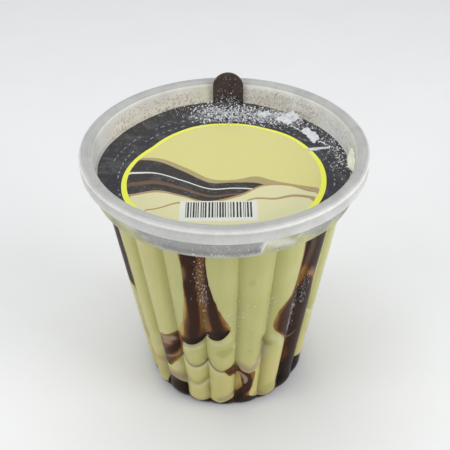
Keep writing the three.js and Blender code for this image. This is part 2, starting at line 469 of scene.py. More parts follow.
def wallRows(inset, bottom, top):
    # stations of the fluted wall, close together in the rounded foot and among the low folds
    foot = bottom + (cup["footHeight"] - bottom) * (1 - np.cos(np.linspace(0, math.pi / 2, 12)))
    heights = [*foot, *np.arange(cup["footHeight"] + 0.5, flutes["fineTo"], 0.5)]
    heights += [*np.arange(flutes["fineTo"] + 0.5, top, 1.0), top]
    return [
        (wallRadius(allRound, min(max(h - bottom, 0), cup["bodyTop"]), inset), h) for h in heights
    ]


def roundRows(centreRadius, centreHeight, size, start, end, steps):
    angles = np.radians(np.linspace(start, end, steps))
    return [(centreRadius + size * math.cos(a), centreHeight + size * math.sin(a)) for a in angles]


def nearLine(heading, height, line, steps=8):
    # how far, in millimetres along the wall, points lie from a smooth line and its own half width
    knots = np.asarray(line, float)
    curve = smoothLine(knots, steps)
    if curve.shape[1] == 2:
        curve = np.column_stack([curve, np.zeros(len(curve))])
    best = np.full(len(heading), 1e9)
    perDegree = math.pi / 180 * crestRadius(height)
    for lineHeading, lineHeight, half in curve:
        across = turnBetween(heading, lineHeading) * perDegree
        best = np.minimum(best, np.hypot(across, height - lineHeight) - half)
    return best


def marks(heading, height, rows, inward=0.5):
    # how strongly points are marked by soft lines; a half width may stand in each knot or after them
    total = np.zeros(len(heading))
    for line, *half, soft, strength in rows:
        away = nearLine(heading, height, [(*knot, *half) for knot in line])
        total = np.maximum(total, strength * (1 - smooth(away, -soft * inward, soft)))
    return total


band = {
    "opacity": 0.72,
    "wall": 0.008,  # how cloudy the fluted wall is
    "rimLine": {"rise": 0.35, "wander": 0.2, "width": 0.32, "strength": 0.6},  # painted highlight along the rounded edge round the foot of the band
    "seam": {"rise": 0.75, "above": 1.0, "below": 0.4},  # painted shade, a dark line over it
    "grey": [(-50, 13), (31, 62), (98, 130), (205, 250)],  # headings where the dark gap behind the band is painted as grey shade
    "creamLine": [  # how high cream is pressed behind the band, by heading
        (-100, 79), (-60, 78.6), (-42, 77.7), (-36.5, 77.1), (-33, 76.3), (-29.2, 75.2), (-25, 73),
        (12.6, 73), (14, 75.4), (16, 78.6), (19, 81), (25, 81), (29, 79), (33, 77), (38, 76),
        (48, 75.8), (60, 75), (66, 75.4), (70, 78), (94, 78), (100, 72), (131, 72), (136, 79),
        (168, 78), (174, 72), (182, 76), (200, 77), (206, 72), (250, 72), (256, 78),
    ],
    "insideBright": (120, 240, 40),  # painted light on the inner wall: heading from and to, softness
    "insideFilm": (178, 186, 14),
    "insideWarm": (140, 240, 18),
    "warmHeights": (84.6, 81),
    "scuffs": [  # painted glints of reflected light down two right valleys, and a whitish wipe on the band: points on the wall, half width, softness and strength
        ([(40.6, 50), (39.6, 43), (38.7, 37), (38.7, 29.6)], 0.1, 0.5, 0.34),
        ([(43.6, 48), (44.2, 40)], 0.05, 0.4, 0.2),
        ([(13.6, 75.4), (16, 78.8), (19, 80.6)], 0.4, 0.8, 0.9),
    ],
    "smudges": [  # whitish wipes on the band, in the same form
        ([(13.6, 75.4), (16, 78.8), (19, 80.6)], 0.3, 0.8, 0.9),
        ([(18, 78), (23, 77), (27, 76)], 0.6, 1.6, 0.75),
        ([(-60, 79), (-42, 77.9), (-36.5, 77.3), (-33, 76.6), (-29, 75.9), (-24, 75.2)], 0.1, 0.5, 0.75),
        ([(-34, 80), (-20, 79.7), (-8, 79.8)], 0.1, 0.8, 0.5),
        ([(30, 77.6), (33, 78.8), (38, 79.6)], 0.2, 0.7, 0.7),
        ([(-4, 74.9), (-2, 75.8), (0, 74.9)], 0.3, 0.7, 0.9),
    ],
}


def buildCup():
    outerRound, innerRound, landAngle = cup["outerRound"], cup["innerRound"], 110
    landHeight = lipTop - innerRound + innerRound * math.sin(math.radians(landAngle))
    bodyTop, shoulderLow, shoulderTop = cup["bodyTop"], cup["shoulderLow"], cup["shoulderTop"]
    shoulder = [
        (cup["bodyTopRadius"] + 0.5, bodyTop - 0.05), (shoulderLow - 0.5, bodyTop),
        (shoulderLow - 0.1, bodyTop + 0.12), (shoulderLow, bodyTop + 0.5),
    ]
    for share in np.linspace(0.2, 1, 6):
        radius = lerp(shoulderLow, cup["shoulderHigh"], share)
        shoulder.append((radius, lerp(bodyTop + 0.5, shoulderTop - 0.25, share)))
    lip = [
        (cup["shoulderHigh"] + 0.25, shoulderTop),
        (cup["lipUnder"] - 0.3, shoulderTop),
        (cup["lipUnder"], shoulderTop + 0.3),
        *roundRows(lipRadius - outerRound, lipTop - outerRound, outerRound, 0, 90, 10),
        (cup["lipLand"] + 0.4, lipTop),
        (cup["lipLand"] - 0.2, lerp(landHeight, lipTop, 0.6)),
        *roundRows(cup["lipInner"] + innerRound, lipTop - innerRound, innerRound, landAngle, 180, 9),
    ]
    ledge = [
        (cup["shoulderInner"] + 0.25, cup["ledgeTop"]),
        (cup["shoulderInner"] + 0.2, cup["ledge"]),
        (cup["ledgeRadius"], cup["ledge"]),
        (cup["ledgeRadius"] + 0.1, cup["ledge"] - 0.15),
        (cup["shoulderInner"], cup["ledgeFoot"]),
        (cup["shoulderInner"], bodyTop + cup["wall"]),
    ]
    outside = wallRows(0, 0, bodyTop - 0.4)
    inside = wallRows(cup["wall"], cup["floor"], bodyTop + cup["wall"])
    stations = [(0, 0), *outside, *shoulder, *lip, *ledge, *reversed(inside), (0, cup["floor"])]
    piece = turnedMesh("clearCup", stations)
    shadeSmooth(piece, 50)
    return piece


def paintCup(piece):
    # how milky or creamy the plastic is at each point, with its painted highlights and painted shade
    heading, height, radius = wallPlace(meshPoints(piece))
    bodyTop, shoulderTop = cup["bodyTop"], cup["shoulderTop"]
    mottle = softNoise(np.radians(heading) * 12, height * 0.7, 3)
    inner = (radius < cup["shoulderInner"] + 0.6) & (height > cup["ledge"] - 0.2)
    outer = radius > cup["shoulderInner"] + 0.3
    aboveBody = height > bodyTop - 0.3
    onLip = height > shoulderTop - 0.3
    onBand = aboveBody & outer
    underLip = onBand * ~onLip

    places, creamHeights = np.array(band["creamLine"], float).T
    creamTop = np.interp(heading, places, creamHeights, period=360) + 0.3 * mottle
    behind = smooth(creamTop - height, -0.5, 0.5)
    rim, dark = band["rimLine"], band["seam"]
    # painted highlight: a thin bright line along the rounded edge at the foot of the band, where the plastic
    # is also made more milky
    line = bodyTop + rim["rise"] + rim["wander"] * softNoise(np.radians(heading) * 20, 0 * heading, 14)
    rimLine = rim["strength"] * bell(height - line, rim["width"]) * onBand * (1 - 0.75 * behind)
    # painted shade: a dark line just over the rim highlight, where the gap behind the band is dark
    above = height - line - dark["rise"]
    seam = bell(above, np.where(above > 0, dark["above"], dark["below"])) * underLip * (1 - behind)

    opacity = np.where(aboveBody, band["opacity"] + 0.12 * mottle, band["wall"])
    # painted glints of reflected light, and a wipe on the band, make the plastic more milky
    scuffs = marks(heading, height, band["scuffs"], 0) * outer
    opacity = np.maximum(np.maximum(opacity, 0.9 * rimLine), scuffs)
    opacity = lerp(opacity, 0.95, smooth(height, shoulderTop - 1.0, shoulderTop - 0.1))

    # painted highlights on the lip's rounded outer top and along its lower edge, and painted light on the
    # back of the inner wall; real whitish smudges go on top
    edge = bell(height - lipTop + 0.7, 0.45) * (radius > lipRadius - 1)
    edge = edge + 0.6 * bell(height - shoulderTop - 0.3, 0.4) * (radius > cup["lipUnder"] - 1)
    bright = np.maximum(rimLine * 0.9, edge * onLip)
    bright = np.where(inner, 0.5 + 0.45 * zone(heading, *band["insideBright"]), bright)
    bright = np.maximum(bright, marks(heading, height, band["smudges"], 0) * onBand)

    # painted shade: the band darker where the gap behind it is dark, more so towards its foot, and the lip's
    # outer face a little darker
    grey = np.max([zone(heading, *ends, 5) for ends in band["grey"]], axis=0)
    lower = lerp(1.0, 0.5, smooth(height, bodyTop + 1.5, shoulderTop))
    shade = grey * (1 - behind) * (0.8 + 0.35 * mottle) * lower * underLip
    shade = np.maximum(shade, 0.25 * ((radius > lipRadius - 0.6) & onLip))
    film = 0.8 * zone(heading, *band["insideFilm"]) * (0.85 + 0.2 * mottle)
    creamy = behind * (0.8 + 0.2 * mottle) * underLip * (1 - 0.8 * bright)
    warm = smooth(height, *band["warmHeights"]) * zone(heading, *band["insideWarm"])
    paint(
        piece, opacity=np.where(inner, 0.9, opacity), bright=bright, shade=shade * (1 - rimLine),
        seam=seam * (0.75 + 0.2 * mottle), film=np.where(inner, film, 0),
        creamy=np.where(inner, 0, creamy), warm=np.where(inner, warm, 0),
    )


# plastic tones, with the tones of its painted highlights and whitish smudges, its painted shade and its
# painted shade line
cupLook = {
    "plain": tone(180, 180, 176),
    "pale": tone(190, 190, 186),
    "bright": tone(236, 235, 230),
    "shade": tone(140, 140, 141),
    "seam": tone(104, 103, 104),
    "film": tone(240, 237, 210),
    "creamy": tone(182, 181, 132),
    "warm": tone(238, 230, 214),
    "dots": tone(186, 166, 138),
    "roughness": 0.5,
}


def cupMaterial():
    material, tree, shader = newMaterial("clearPlastic", {
        "Roughness": cupLook["roughness"],
        "IOR": 1.49,
        "Specular IOR Level": 0.3,
        "Subsurface Weight": 0.15,
        "Subsurface Radius": (1, 1, 1),
        "Subsurface Scale": 0.002,
    })
    fine = grain(tree, 900, 4, 0.6)
    broad = grain(tree, 160, 3, 0.55)
    streaky = spread(tree, turnedGrain(tree, 2.5, 2600), 0.35, 0.65)
    colour = mixTones(tree, streaky, cupLook["plain"], cupLook["pale"])
    warm, specks = layer(tree, "warm"), spread(tree, grain(tree, 1200, 2, 0.6), 0.53, 0.64)
    dots = reckon(tree, "MULTIPLY", specks, warm)
    thinned = spread(tree, fine, 0.3, 0.6, 0.7, 1)
    patchy = reckon(tree, "MULTIPLY", spread(tree, broad, 0.3, 0.7, 0.5, 1),
                    spread(tree, fine, 0.35, 0.7, 1, 0.4), False)
    shares = {  # from the lowest tone to the topmost
        "bright": layer(tree, "bright"),
        "warm": reckon(tree, "MULTIPLY", warm, 0.75),
        "dots": reckon(tree, "MULTIPLY", dots, 0.8),
        "film": reckon(tree, "MULTIPLY", layer(tree, "film"), thinned),
        "creamy": layer(tree, "creamy"),
        "shade": reckon(tree, "MULTIPLY", layer(tree, "shade"), patchy),
        "seam": layer(tree, "seam"),
    }
    for name, share in shares.items():
        colour = mixTones(tree, share, colour, cupLook[name])
    finishLook(tree, shader, colour, fine, 0.15, 0.0002)
    mist = spread(tree, broad, 0.3, 0.7, 0.85, 1.12)
    cloudy = reckon(tree, "MULTIPLY", layer(tree, "opacity"), mist)
    # a clear wall with a glossy skin, turning milky where the plastic is thick, and where painted glints and
    # the painted rim highlight raise its opacity
    clear = addNode(tree, "BsdfTransparent")
    skin = addNode(tree, "BsdfGlossy", {"Roughness": 0.2})
    edge = reckon(tree, "MULTIPLY", addNode(tree, "Fresnel", {"IOR": 1.35}).outputs["Fac"], 0.1)
    plain = addNode(tree, "MixShader", {0: edge, 1: clear.outputs[0], 2: skin.outputs[0]})
    wall = addNode(tree, "MixShader", {0: cloudy, 1: plain.outputs[0], 2: shader.outputs[0]})
    tree.links.new(wall.outputs[0], tree.nodes["Material Output"].inputs["Surface"])
    return material


clearCup = buildCup()
paintCup(clearCup)
dress(clearCup, cupMaterial(), "clear_plastic", "cup")
print("cup built:", len(clearCup.data.polygons), "faces")


# ice cream and syrup fill the cup up to the shoulder
filling = {
    "inset": 0.2,  # behind the outside of the wall, so it reaches into the plastic
    "bottom": 0.25,
    "rim": 75.05,
    "rimTop": 76.6,
    "top": 77.7,
    "drawIn": 0.9,
    "smearReach": 37.3,
    "smears": [(-96, -46), (13, 27), (118, 170), (215, 236)],
    "smearBlend": 5,
    "streakDepth": 3.2,
    "overshoot": 4,
    "unrolledRadius": 32,
    "wander": 0.25,  # unevenness of its rim, and of the outlines of the syrup
    "ragged": 0.12,
    "syrupGap": 0.04,  # left round the syrup, so that nothing is shared
}
flatDegree = math.pi / 180 * filling["unrolledRadius"]  # millimetres to a degree on the unrolled wall

# each streak is a smooth closed outline on the unrolled wall, as (heading, height)
streaks = {
    "front": [
        (-19.6, 80), (-20.3, 64), (-20.9, 54), (-23.6, 43), (-27.8, 36.4), (-27.4, 32), (-22.4, 31.5),
        (-18, 32.4), (-14.1, 34), (-10.7, 36.2), (-8.4, 35.5), (-4.6, 35.5), (-1.2, 36.7), (1.7, 39),
        (2.7, 41), (0.2, 44.4), (-4.4, 51.6), (-7.6, 59), (-8.9, 68), (-9.2, 80),
    ],
    "right": [
        (39.6, 80), (40, 67), (39.4, 58), (36.4, 50.2), (32, 47), (28.6, 43), (27.9, 38), (29.8, 35.4),
        (34.4, 32.4), (38.2, 28.6), (39.8, 22), (41, 12), (41, 2), (59, 2), (58.8, 20), (57.4, 34),
        (55.6, 42), (53.4, 50), (53.8, 57), (55.4, 66), (55.6, 80),
    ],
    "left": [
        (-84, 80), (-84, 62), (-82, 50), (-76, 43), (-67, 40.4), (-60.4, 42), (-57.8, 47), (-58, 53),
        (-58.8, 60), (-60, 66), (-62.6, 71), (-64, 80),
    ],
    "lowLeft": [
        (-45.6, 29.6), (-37, 32.2), (-28.4, 35.2), (-26.2, 31.8), (-28, 27.4), (-29.4, 23.6),
        (-33.6, 20), (-39.2, 16.4), (-44.6, 16.6), (-46, 21),
    ],
    "backRight": [
        (104, 80), (103, 62), (100, 48), (96, 39.4), (103, 34.6), (113, 36), (123, 32.4), (125, 39),
        (120, 49), (117.4, 62), (117, 80),
    ],
    "backLeft": [
        (204, 80), (203, 60), (200, 44), (199, 28), (204, 20.4), (209, 27), (211.4, 38), (216, 50),
        (217, 64), (217.6, 80),
    ],
    "swirl": [
        (-0.6, 19.8), (3, 20.6), (6.4, 22.4), (9, 20.4), (12, 18.8), (15.4, 18.2), (19, 18.2), (19.7, 17),
        (19, 13.6), (17.4, 9.2), (15, 4.6), (13, 1), (8, 1), (5.8, 6.4), (7.6, 11), (7.6, 14.4), (5.2, 16.8),
        (2.6, 16.8),
    ],
}
pool = {
    "middle": 6,
    "bottom": -6,
    "flatTo": 0.75,  # shares of the radius where it is level, and where it nears the middle height
    "bendAt": 0.5,
    "levels": [  # heading and height at the wall
        (-171, 5), (-150, 9), (-132, 11), (-112, 7.5), (-90, 6), (-74, 3.4), (-60, 1.8), (-50, 2.4),
        (-48.6, 5.6), (-46.6, 7.4), (-45, 9.7), (-40, 10.8), (-35.2, 10), (-30.5, 8.6), (-29.4, 5),
        (-27, 2.6), (-20.9, 1.6), (-12.1, 3.4), (-8.1, 2.7), (-5, 2.2), (0.7, 3.9), (5.7, 4.9),
        (8.9, 7), (14.7, 7), (18, 4.9), (24.9, 2.6), (32, 1.6), (38, 2.6), (40.2, 15.2), (45.5, 13.1),
        (51.5, 11.3), (59, 10.7), (70, 9.4), (84, 6), (98, 5.4), (112, 9), (130, 8.4), (150, 4.6),
        (168, 7),
    ],
}
syrupNodes = {  # the outlines that run together in each piece of syrup
    "syrup_front": ("front", "lowLeft"),
    "syrup_left": ("left",),
    "syrup_back_right": ("backRight",),
    "syrup_back_left": ("backLeft",),
    "syrup_pool": ("right", "swirl"),
}

# folds of ice cream meet along these lines: (heading, height) points, dent depth, dent width, darkness of the
# painted shade along the crease
folds = [
    ([(-29.4, 23.9), (-27.3, 22.4), (-24.6, 20.9), (-20.7, 20.4), (-16.3, 21.3), (-13.4, 22.7),
      (-11.7, 24)], 0.5, 1.5, 1.0),
    ([(-11.7, 24), (-9.4, 21.7), (-5.9, 20.1), (-1.5, 19.6), (2.1, 20.4), (6.3, 21.8)], 0.5, 1.5, 1.0),
    ([(-28.3, 11.6), (-24.3, 10.3), (-18.5, 11), (-12.7, 13.6)], 0.4, 1.5, 0.14),
    ([(23, 32.6), (24.6, 29.6), (24.2, 26.4), (21.6, 22.6)], 0.9, 1.7, 0.15),
    ([(-47.4, 13.4), (-46.1, 11.4), (-45, 9.3)], 0.3, 0.9, 1.0),
    ([(-75, 24), (-68, 17.6), (-66.4, 13.4)], 0.3, 0.9, 0.5),
    ([(-66, 30), (-60, 22.6), (-54, 20.4), (-47.6, 21)], 0.35, 1.4, 0.2),
]
# lobes of cream behind, each as wide as a flute
lobes = {
    "halfWidth": 9,
    "sag": 3.6,
    "dent": 0.45,
    "dentWidth": 1.5,
    "ends": [  # flutes on from the first valley, height of the end, darkness of the painted crease shade
        (3, 31, 0.4), (5, 23.5, 0.8), (7, 25.8, 0.7), (8, 17.8, 0.8), (9, 19.4, 0.8), (13, 29, 0.6),
        (14, 21.8, 0.8),
    ],
}
for flute, height, darkness in lobes["ends"]:
    middle = flutes["firstValley"] + (flute + 0.5) * 360 / flutes["count"]
    line = [(middle + lobes["halfWidth"] * t, height + lobes["sag"] * t * t) for t in np.linspace(-1, 1, 7)]
    folds.append((line, lobes["dent"], lobes["dentWidth"], darkness))
creamForm = {
    "core": 0.5,  # widths round a fold: its dent, its painted dark crease line and the painted shade over it
    "line": 0.4,
    "above": 2.4,
    "uneven": 0.05,
    "left": (-90, -34, 12),  # lighter cream: heading from and to, softness, and heights
    "low": (34, 16),
    "valleyShade": 0.24,  # painted shade: how much darker a valley, a flute side facing the front away from the side light, and the cream over a fold are
    "sideShade": 0.34,
    "foldShade": 0.45,
    "streaky": 0.12,
}

# patches on the cream, darker ones partly painted shadow and partly duller cream, whiter ones partly painted
# highlight: kind, closed (heading, height) outline, softness, strength
patches = [
    ("dull", [(-6.3, 29.1), (-3.3, 31), (0.8, 31.7), (4.9, 31.6), (4.1, 29.9), (0.8, 27.5), (-3.4, 27.1)],
     0.7, 0.5),
    ("dull", [(23.4, 31.6), (26.6, 30.6), (28.9, 29), (27.8, 27.2), (23.8, 25.4), (20.7, 23.4), (21.4, 26.6)],
     1.2, 0.9),
    ("dull", [(-28, 14.6), (-20, 13), (-13.4, 16), (-14, 12.4), (-19, 11), (-27, 12)], 1.4, 0.45),
    ("dull", [(30.7, 15.2), (31.3, 15.4), (31.4, 14.6), (30.8, 14.6)], 0.3, 0.4),
    ("dull", [(27, 4), (27, 7), (31, 9), (36, 10), (40, 12), (40, 6), (37, 4)], 1.6, 0.5),
    ("white", [(-38, 17.6), (-33, 19.6), (-30.6, 17), (-33, 14.2), (-37, 14.6)], 1.4, 0.45),
    ("dull", [(10.4, 60.6), (12.7, 62.2), (15, 60.6), (12.7, 59)], 0.8, 0.3),
    ("dull", [(12.4, 29.6), (14.4, 30.1), (16.2, 29.6), (14.2, 29)], 0.5, 0.4),
    ("white", [(4.2, 31.9), (5.8, 32.8), (6, 30.8), (4.8, 30.2)], 0.5, 0.9),
    ("white", [(-27, 29.6), (-20, 31), (-13, 33), (-13, 31), (-20, 28.8), (-27, 27.4)], 1.2, 0.5),
    ("white", [(-10, 35.6), (-3, 34.8), (3, 38), (4, 35), (-3, 32.6), (-10, 33)], 1.4, 0.45),
    ("white", [(27, 34.6), (33, 32.4), (38.6, 27), (36, 26), (31, 30), (26, 32)], 1.4, 0.45),
    ("white", [(-55, 27), (-47.5, 27), (-47, 20), (-52, 19)], 2, 0.3),
]

# syrup stirred into the cream: (heading, height, half width) points, softness, strength
stains = [
    ([(7.6, 22.4, 0.3), (10.6, 21, 0.9), (14, 19.8, 0.9), (17.6, 20, 0.7), (20.4, 21.6, 0.4)], 2.2, 0.85),
    ([(17, 20.6, 0.6), (21, 21.6, 0.9), (23.4, 25, 0.6), (23.6, 29, 0.2)], 2.6, 0.55),
    ([(-47.6, 13.6, 0.3), (-44.8, 11.8, 0.6), (-40, 12, 0.8), (-35, 11.8, 0.7), (-30.4, 10.8, 0.3)],
     2.8, 1.0),
    ([(-47, 16, 0.2), (-43, 17.4, 0.3), (-40, 16.4, 0.2)], 1.2, 0.4),
    ([(-70, 20, 0.3), (-61, 15.4, 0.5), (-56, 13.8, 0.7), (-49, 14.6, 0.6), (-47.8, 14, 0.3)], 2.6, 0.7),
    ([(-64, 9, 2), (-54, 9, 3), (-48.4, 9, 1.4)], 3, 0.3),
    ([(-76, 27, 0.3), (-70, 20, 0.4)], 1.6, 0.7),
    ([(-27, 30.4, 0.2), (-20, 31.4, 0.4), (-13, 33.6, 0.2)], 1.4, 0.55),
    ([(-5.2, 4.6, 0.4), (-0.3, 5.4, 0.6), (5.1, 7, 0.5)], 1.6, 0.75),
    ([(19.6, 4.4, 0.2), (23, 5, 0.5), (28, 3.4, 0.5), (34, 3, 0.4)], 1.3, 0.75),
    ([(-26, 3, 0.2), (-18, 2.6, 0.4), (-12, 4.4, 0.3)], 1.0, 0.6),
    ([(69, 22, 0.8), (80, 17, 1.6), (92, 13, 1)], 3, 0.6),
    ([(140, 13, 0.8), (152, 10, 1.4), (168, 10, 0.8)], 3, 0.6),
    ([(236, 16, 1), (248, 11, 1.4), (262, 8, 1)], 3, 0.6),
]

# darker and thinner runs inside the syrup: (heading, height, half width) points, softness, thickness
runs = {
    "syrup_front": [
        ([(-20, 72, 0.3), (-20.6, 60, 0.3), (-22.4, 48, 0.6), (-26, 40, 1.3), (-26.6, 36, 1.2)], 1.1, 0.03),
        ([(-12.6, 72, 0.8), (-12.4, 62, 1), (-12, 52, 1), (-11.8, 44, 1.2), (-11, 40, 1.8)], 1.2, 0.3),
        ([(-5, 52, 0.1), (-2.4, 47, 0.4), (1.2, 42.6, 0.8)], 0.8, 0.15),
        ([(-16.4, 72, 2.1), (-17, 63, 1.5), (-17.4, 57.6, 1.4), (-17.1, 52, 1.2), (-16.8, 48, 1.2),
          (-17.1, 42, 1.3), (-18.8, 36, 1.2)], 0.7, 0.86),
        ([(-8.9, 70, 0.25), (-8.6, 61.4, 0.5), (-7.4, 56, 0.8), (-7, 51.3, 1.1), (-6.3, 46.7, 1.3),
          (-5.2, 43, 1.3), (-4.4, 40, 1.4)], 0.7, 0.84),
        ([(-27.6, 32.2, 0.8), (-21, 33.2, 1.2), (-16, 34.3, 1.1), (-12, 36.4, 0.4)], 0.35, 1.0),
        ([(-9.8, 37.2, 1), (-6.5, 37.4, 1.9), (-2, 38, 1.6), (1, 39.4, 0.7)], 0.35, 1.0),
        ([(-28.2, 33.6, 0.5), (-28.8, 28.7, 0.9), (-31.6, 22.4, 0.8)], 0.9, 0.22),
        ([(-29.8, 30, 0.3), (-33.6, 26, 0.9), (-41, 22.6, 0.8), (-44.8, 19.4, 0.7), (-42.7, 17.4, 0.8),
          (-40.2, 16.6, 0.5)], 0.6, 0.92),
    ],
    "syrup_pool": [
        ([(43.4, 58.6, 0.8), (42.4, 54.6, 1.3), (41.2, 50.6, 0.8)], 1.3, 0.2),
        ([(46, 56, 0.5), (50, 54, 1), (53.4, 51.5, 0.9), (54, 47, 0.5), (55, 43, 0.3)], 1.0, 0.22),
        ([(37.6, 51.6, 0.2), (33.6, 47.6, 0.5), (30.2, 44.4, 0.6), (28.8, 40.6, 0.8), (29.4, 37, 0.5)],
         2.2, 0.18),
        ([(41.4, 23.4, 0.4), (43.6, 19.2, 1), (42.2, 15.6, 0.5)], 1.3, 0.42),
        ([(-0.2, 19.8, 0.3), (3.6, 20.6, 0.9), (6.4, 20.4, 0.7), (4.2, 18, 0.5)], 0.6, 0.42),
        ([(3.2, 19.4, 0.3), (4.8, 18.6, 0.3)], 0.5, 0.62),
        ([(8, 18, 0.7), (8.4, 14.6, 0.9), (8.8, 11.6, 1), (6.6, 9, 0.7)], 0.7, 0.1),
        ([(18, 17.4, 0.9), (17.6, 13.8, 1.1), (16.4, 9.6, 0.9), (14.6, 6, 0.4)], 1.2, 0.22),
        ([(8.4, 21.2, 0.2), (11.4, 19, 0.4), (14.2, 16.5, 0.5), (15.6, 12.8, 0.8), (14, 9, 1)], 0.5, 0.85),
    ],
}
milky = {  # pale marbled runs in the syrup, and one painted glint, in the same form, with a strength last
    "syrup_front": [
        ([(-44, 29.4, 0.2), (-38, 30, 1), (-33.6, 31.2, 0.8)], 0.8, 1.0),
        ([(-41.6, 27.4, 0.5), (-37, 28.6, 0.8)], 0.9, 0.9),
        ([(-42, 20.4, 0.2), (-36, 21.8, 0.3), (-30, 24.4, 0.2)], 0.4, 0.8),
        ([(-19.4, 66, 0.2), (-19.6, 62, 0.3)], 0.8, 0.4),
    ],
    "syrup_pool": [
        ([(8.8, 18.6, 0.1), (11.2, 17, 0.45), (13, 15, 0.55), (12.8, 13.2, 0.3)], 0.45, 1.0),
        ([(39.6, 26.6, 0.14), (42.6, 27.4, 0.18), (46.9, 29.4, 0.08)], 0.3, 0.9),
        ([(-45.4, 9.8, 0.2), (-40, 10.8, 0.5), (-35.2, 10.8, 0.5), (-30.6, 10, 0.2)], 1.8, 0.4),
        ([(40.4, 24.2, 0.1), (43.4, 25.6, 0.08)], 0.25, 0.5),
        ([(48.5, 56.4, 0.3), (50.4, 54.4, 0.5)], 1.2, 0.6),
        # a painted glint of reflected light high on the right streak
        ([(45, 71, 0.3), (45.4, 66, 0.5), (44, 60, 0.3)], 1.3, 0.28),
    ],
}


def poolLevel(heading):
    places, heights = np.array(pool["levels"], float).T
    return np.interp(heading, places, heights, period=360)


def smearShare(heading):
    return np.max([zone(heading, *ends, filling["smearBlend"]) for ends in filling["smears"]], axis=0)


def buildFilling():
    rows = wallRows(filling["inset"], filling["bottom"], cup["bodyTop"])
    edge = rows[-1][0]
    drawn = lerp(edge - filling["drawIn"], filling["smearReach"], smearShare(allRound))
    wander = filling["wander"] * softNoise(np.radians(allRound) * 12, 0 * allRound, 8)
    stations = [
        (0, filling["bottom"]), *rows, (edge, filling["rim"] - 0.15), (drawn, filling["rim"] + wander * 0.4),
        (drawn + wander, filling["rimTop"] - 0.3), (drawn - 0.4, filling["rimTop"]), (0, filling["top"]),
    ]
    return turnedMesh("filling", stations)


def streakSpace(name, outline, margin=0.0):
    # the room of one streak, from inside the ice cream to past the wall
    curve = smoothLine(np.array(outline, float) * (flatDegree, 1), 8, closed=True)
    curve = curve + filling["ragged"] * np.stack([softNoise(*curve.T, 4), softNoise(*curve.T, 9)], 1)
    if margin:
        following = np.roll(curve, -1, 0)
        along = following - np.roll(curve, 1, 0)
        outward = np.stack([along[:, 1], -along[:, 0]], 1)
        turn = np.sign(np.sum(curve[:, 0] * following[:, 1] - following[:, 0] * curve[:, 1]))
        curve = curve + turn * margin * outward / np.linalg.norm(outward, axis=1, keepdims=True)
    flat, triangles = triangulate(curve, 2.0)
    heading, height = flat[:, 0] / flatDegree, flat[:, 1]
    inner = crestRadius(np.clip(height, 0, cup["bodyTop"])) - cup["wall"] - filling["streakDepth"] - margin
    outer = inner + filling["streakDepth"] + filling["overshoot"]
    return slab(name, triangles, onWall(heading, height, inner), onWall(heading, height, outer))


def poolSpace(name, margin=0.0):
    level = poolLevel(allRound) + margin
    middle, outside = pool["middle"] + margin, cup["bodyTopRadius"]
    return turnedMesh(name, [
        (0, pool["bottom"]), (outside, pool["bottom"]), (outside, level), (outside * pool["flatTo"], level),
        (outside * pool["bendAt"], lerp(level, middle, 0.6)), (0, middle),
    ])


def syrupSpace(node, margin=0.0):
    # the streaks that run together in one piece of syrup, and the pool that lies under them
    space, *others = [streakSpace("space", streaks[part], margin) for part in syrupNodes[node]]
    if node == "syrup_pool":
        others.append(poolSpace("space", margin))
    for other in others:
        cutWith(space, other, "UNION")
    return space


def pressFolds(piece):
    # dents the folds into the outside of the ice cream, and paints its tones
    points = meshPoints(piece)
    heading, height, radius = wallPlace(points)
    outside = smooth(radius - wallRadius(heading, height, 1.6), 0, 0.5) * (height < cup["bodyTop"])
    dent, dark, under, above = np.zeros((4, len(points)))
    for line, depth, width, darkness in folds:
        away = nearLine(heading, height, line)
        curve = smoothLine(line, 8)
        order = np.argsort(curve[:, 0])
        rise = height - np.interp(heading, curve[order, 0], curve[order, 1])
        soft, strength = bell(away, width), min(1, depth * 2)
        dent = np.maximum(dent, depth * (0.5 * soft + 0.5 * bell(away, creamForm["core"])))
        # painted shade: a dark line along each crease
        dark = np.maximum(dark, darkness * bell(away, creamForm["line"]))
        # painted highlight on the cream just below each fold, and painted shade just over it
        under = np.maximum(under, soft * smooth(rise, 0.2, -0.6) * strength)
        above = np.maximum(above, bell(away, creamForm["above"]) * smooth(rise, -0.1, 0.8) * strength)
    uneven = creamForm["uneven"] * softNoise(np.radians(heading) * 16, height * 0.5, 12)
    keep = 1 - outside * (dent + np.maximum(uneven, 0)) / np.maximum(radius, 1)
    points[:, :2] *= keep[:, None]
    piece.data.vertices.foreach_set("co", (points * mm).astype(np.float32).ravel())
    piece.data.update()

    blots = {"dull": np.zeros(len(points)), "white": np.zeros(len(points))}
    for kind, outline, soft, strength in patches:
        curve = smoothLine(outline, 6, closed=True)
        away = nearLine(heading, height, np.concatenate([curve, curve[:1]]), 1)
        away = np.where(insideOf(curve, np.stack([heading, height], 1)), -away, away)
        blots[kind] = np.maximum(blots[kind], strength * (1 - smooth(away, -soft, soft * 0.5)))
    # painted shade: darker valleys, darker flute sides that face the front away from the side light, and
    # shade over each fold; duller patches and streaks join it
    facing = -offCrest(heading) * np.clip(heading / 8, -1, 1) * zone(heading, -70, 70, 20)
    valley = creamForm["valleyShade"] * smooth(valleyShare(heading), 0.1, 1)
    valley = valley + creamForm["sideShade"] * smooth(facing, 0.2, 0.95)
    streaky = creamForm["streaky"] * softNoise(heading * 0.5, height * 0.05, 17) * smooth(height, 20, 30)
    left = 0.5 * zone(heading, *creamForm["left"])
    # the white layer holds the painted highlight below the folds and the whiter patches
    paint(
        piece, valley=valley + creamForm["foldShade"] * above + blots["dull"] + streaky,
        low=np.maximum(left, smooth(height, *creamForm["low"])),
        white=np.maximum(0.8 * under, blots["white"]),
        stain=marks(heading, height, stains), fold=dark * outside,
    )


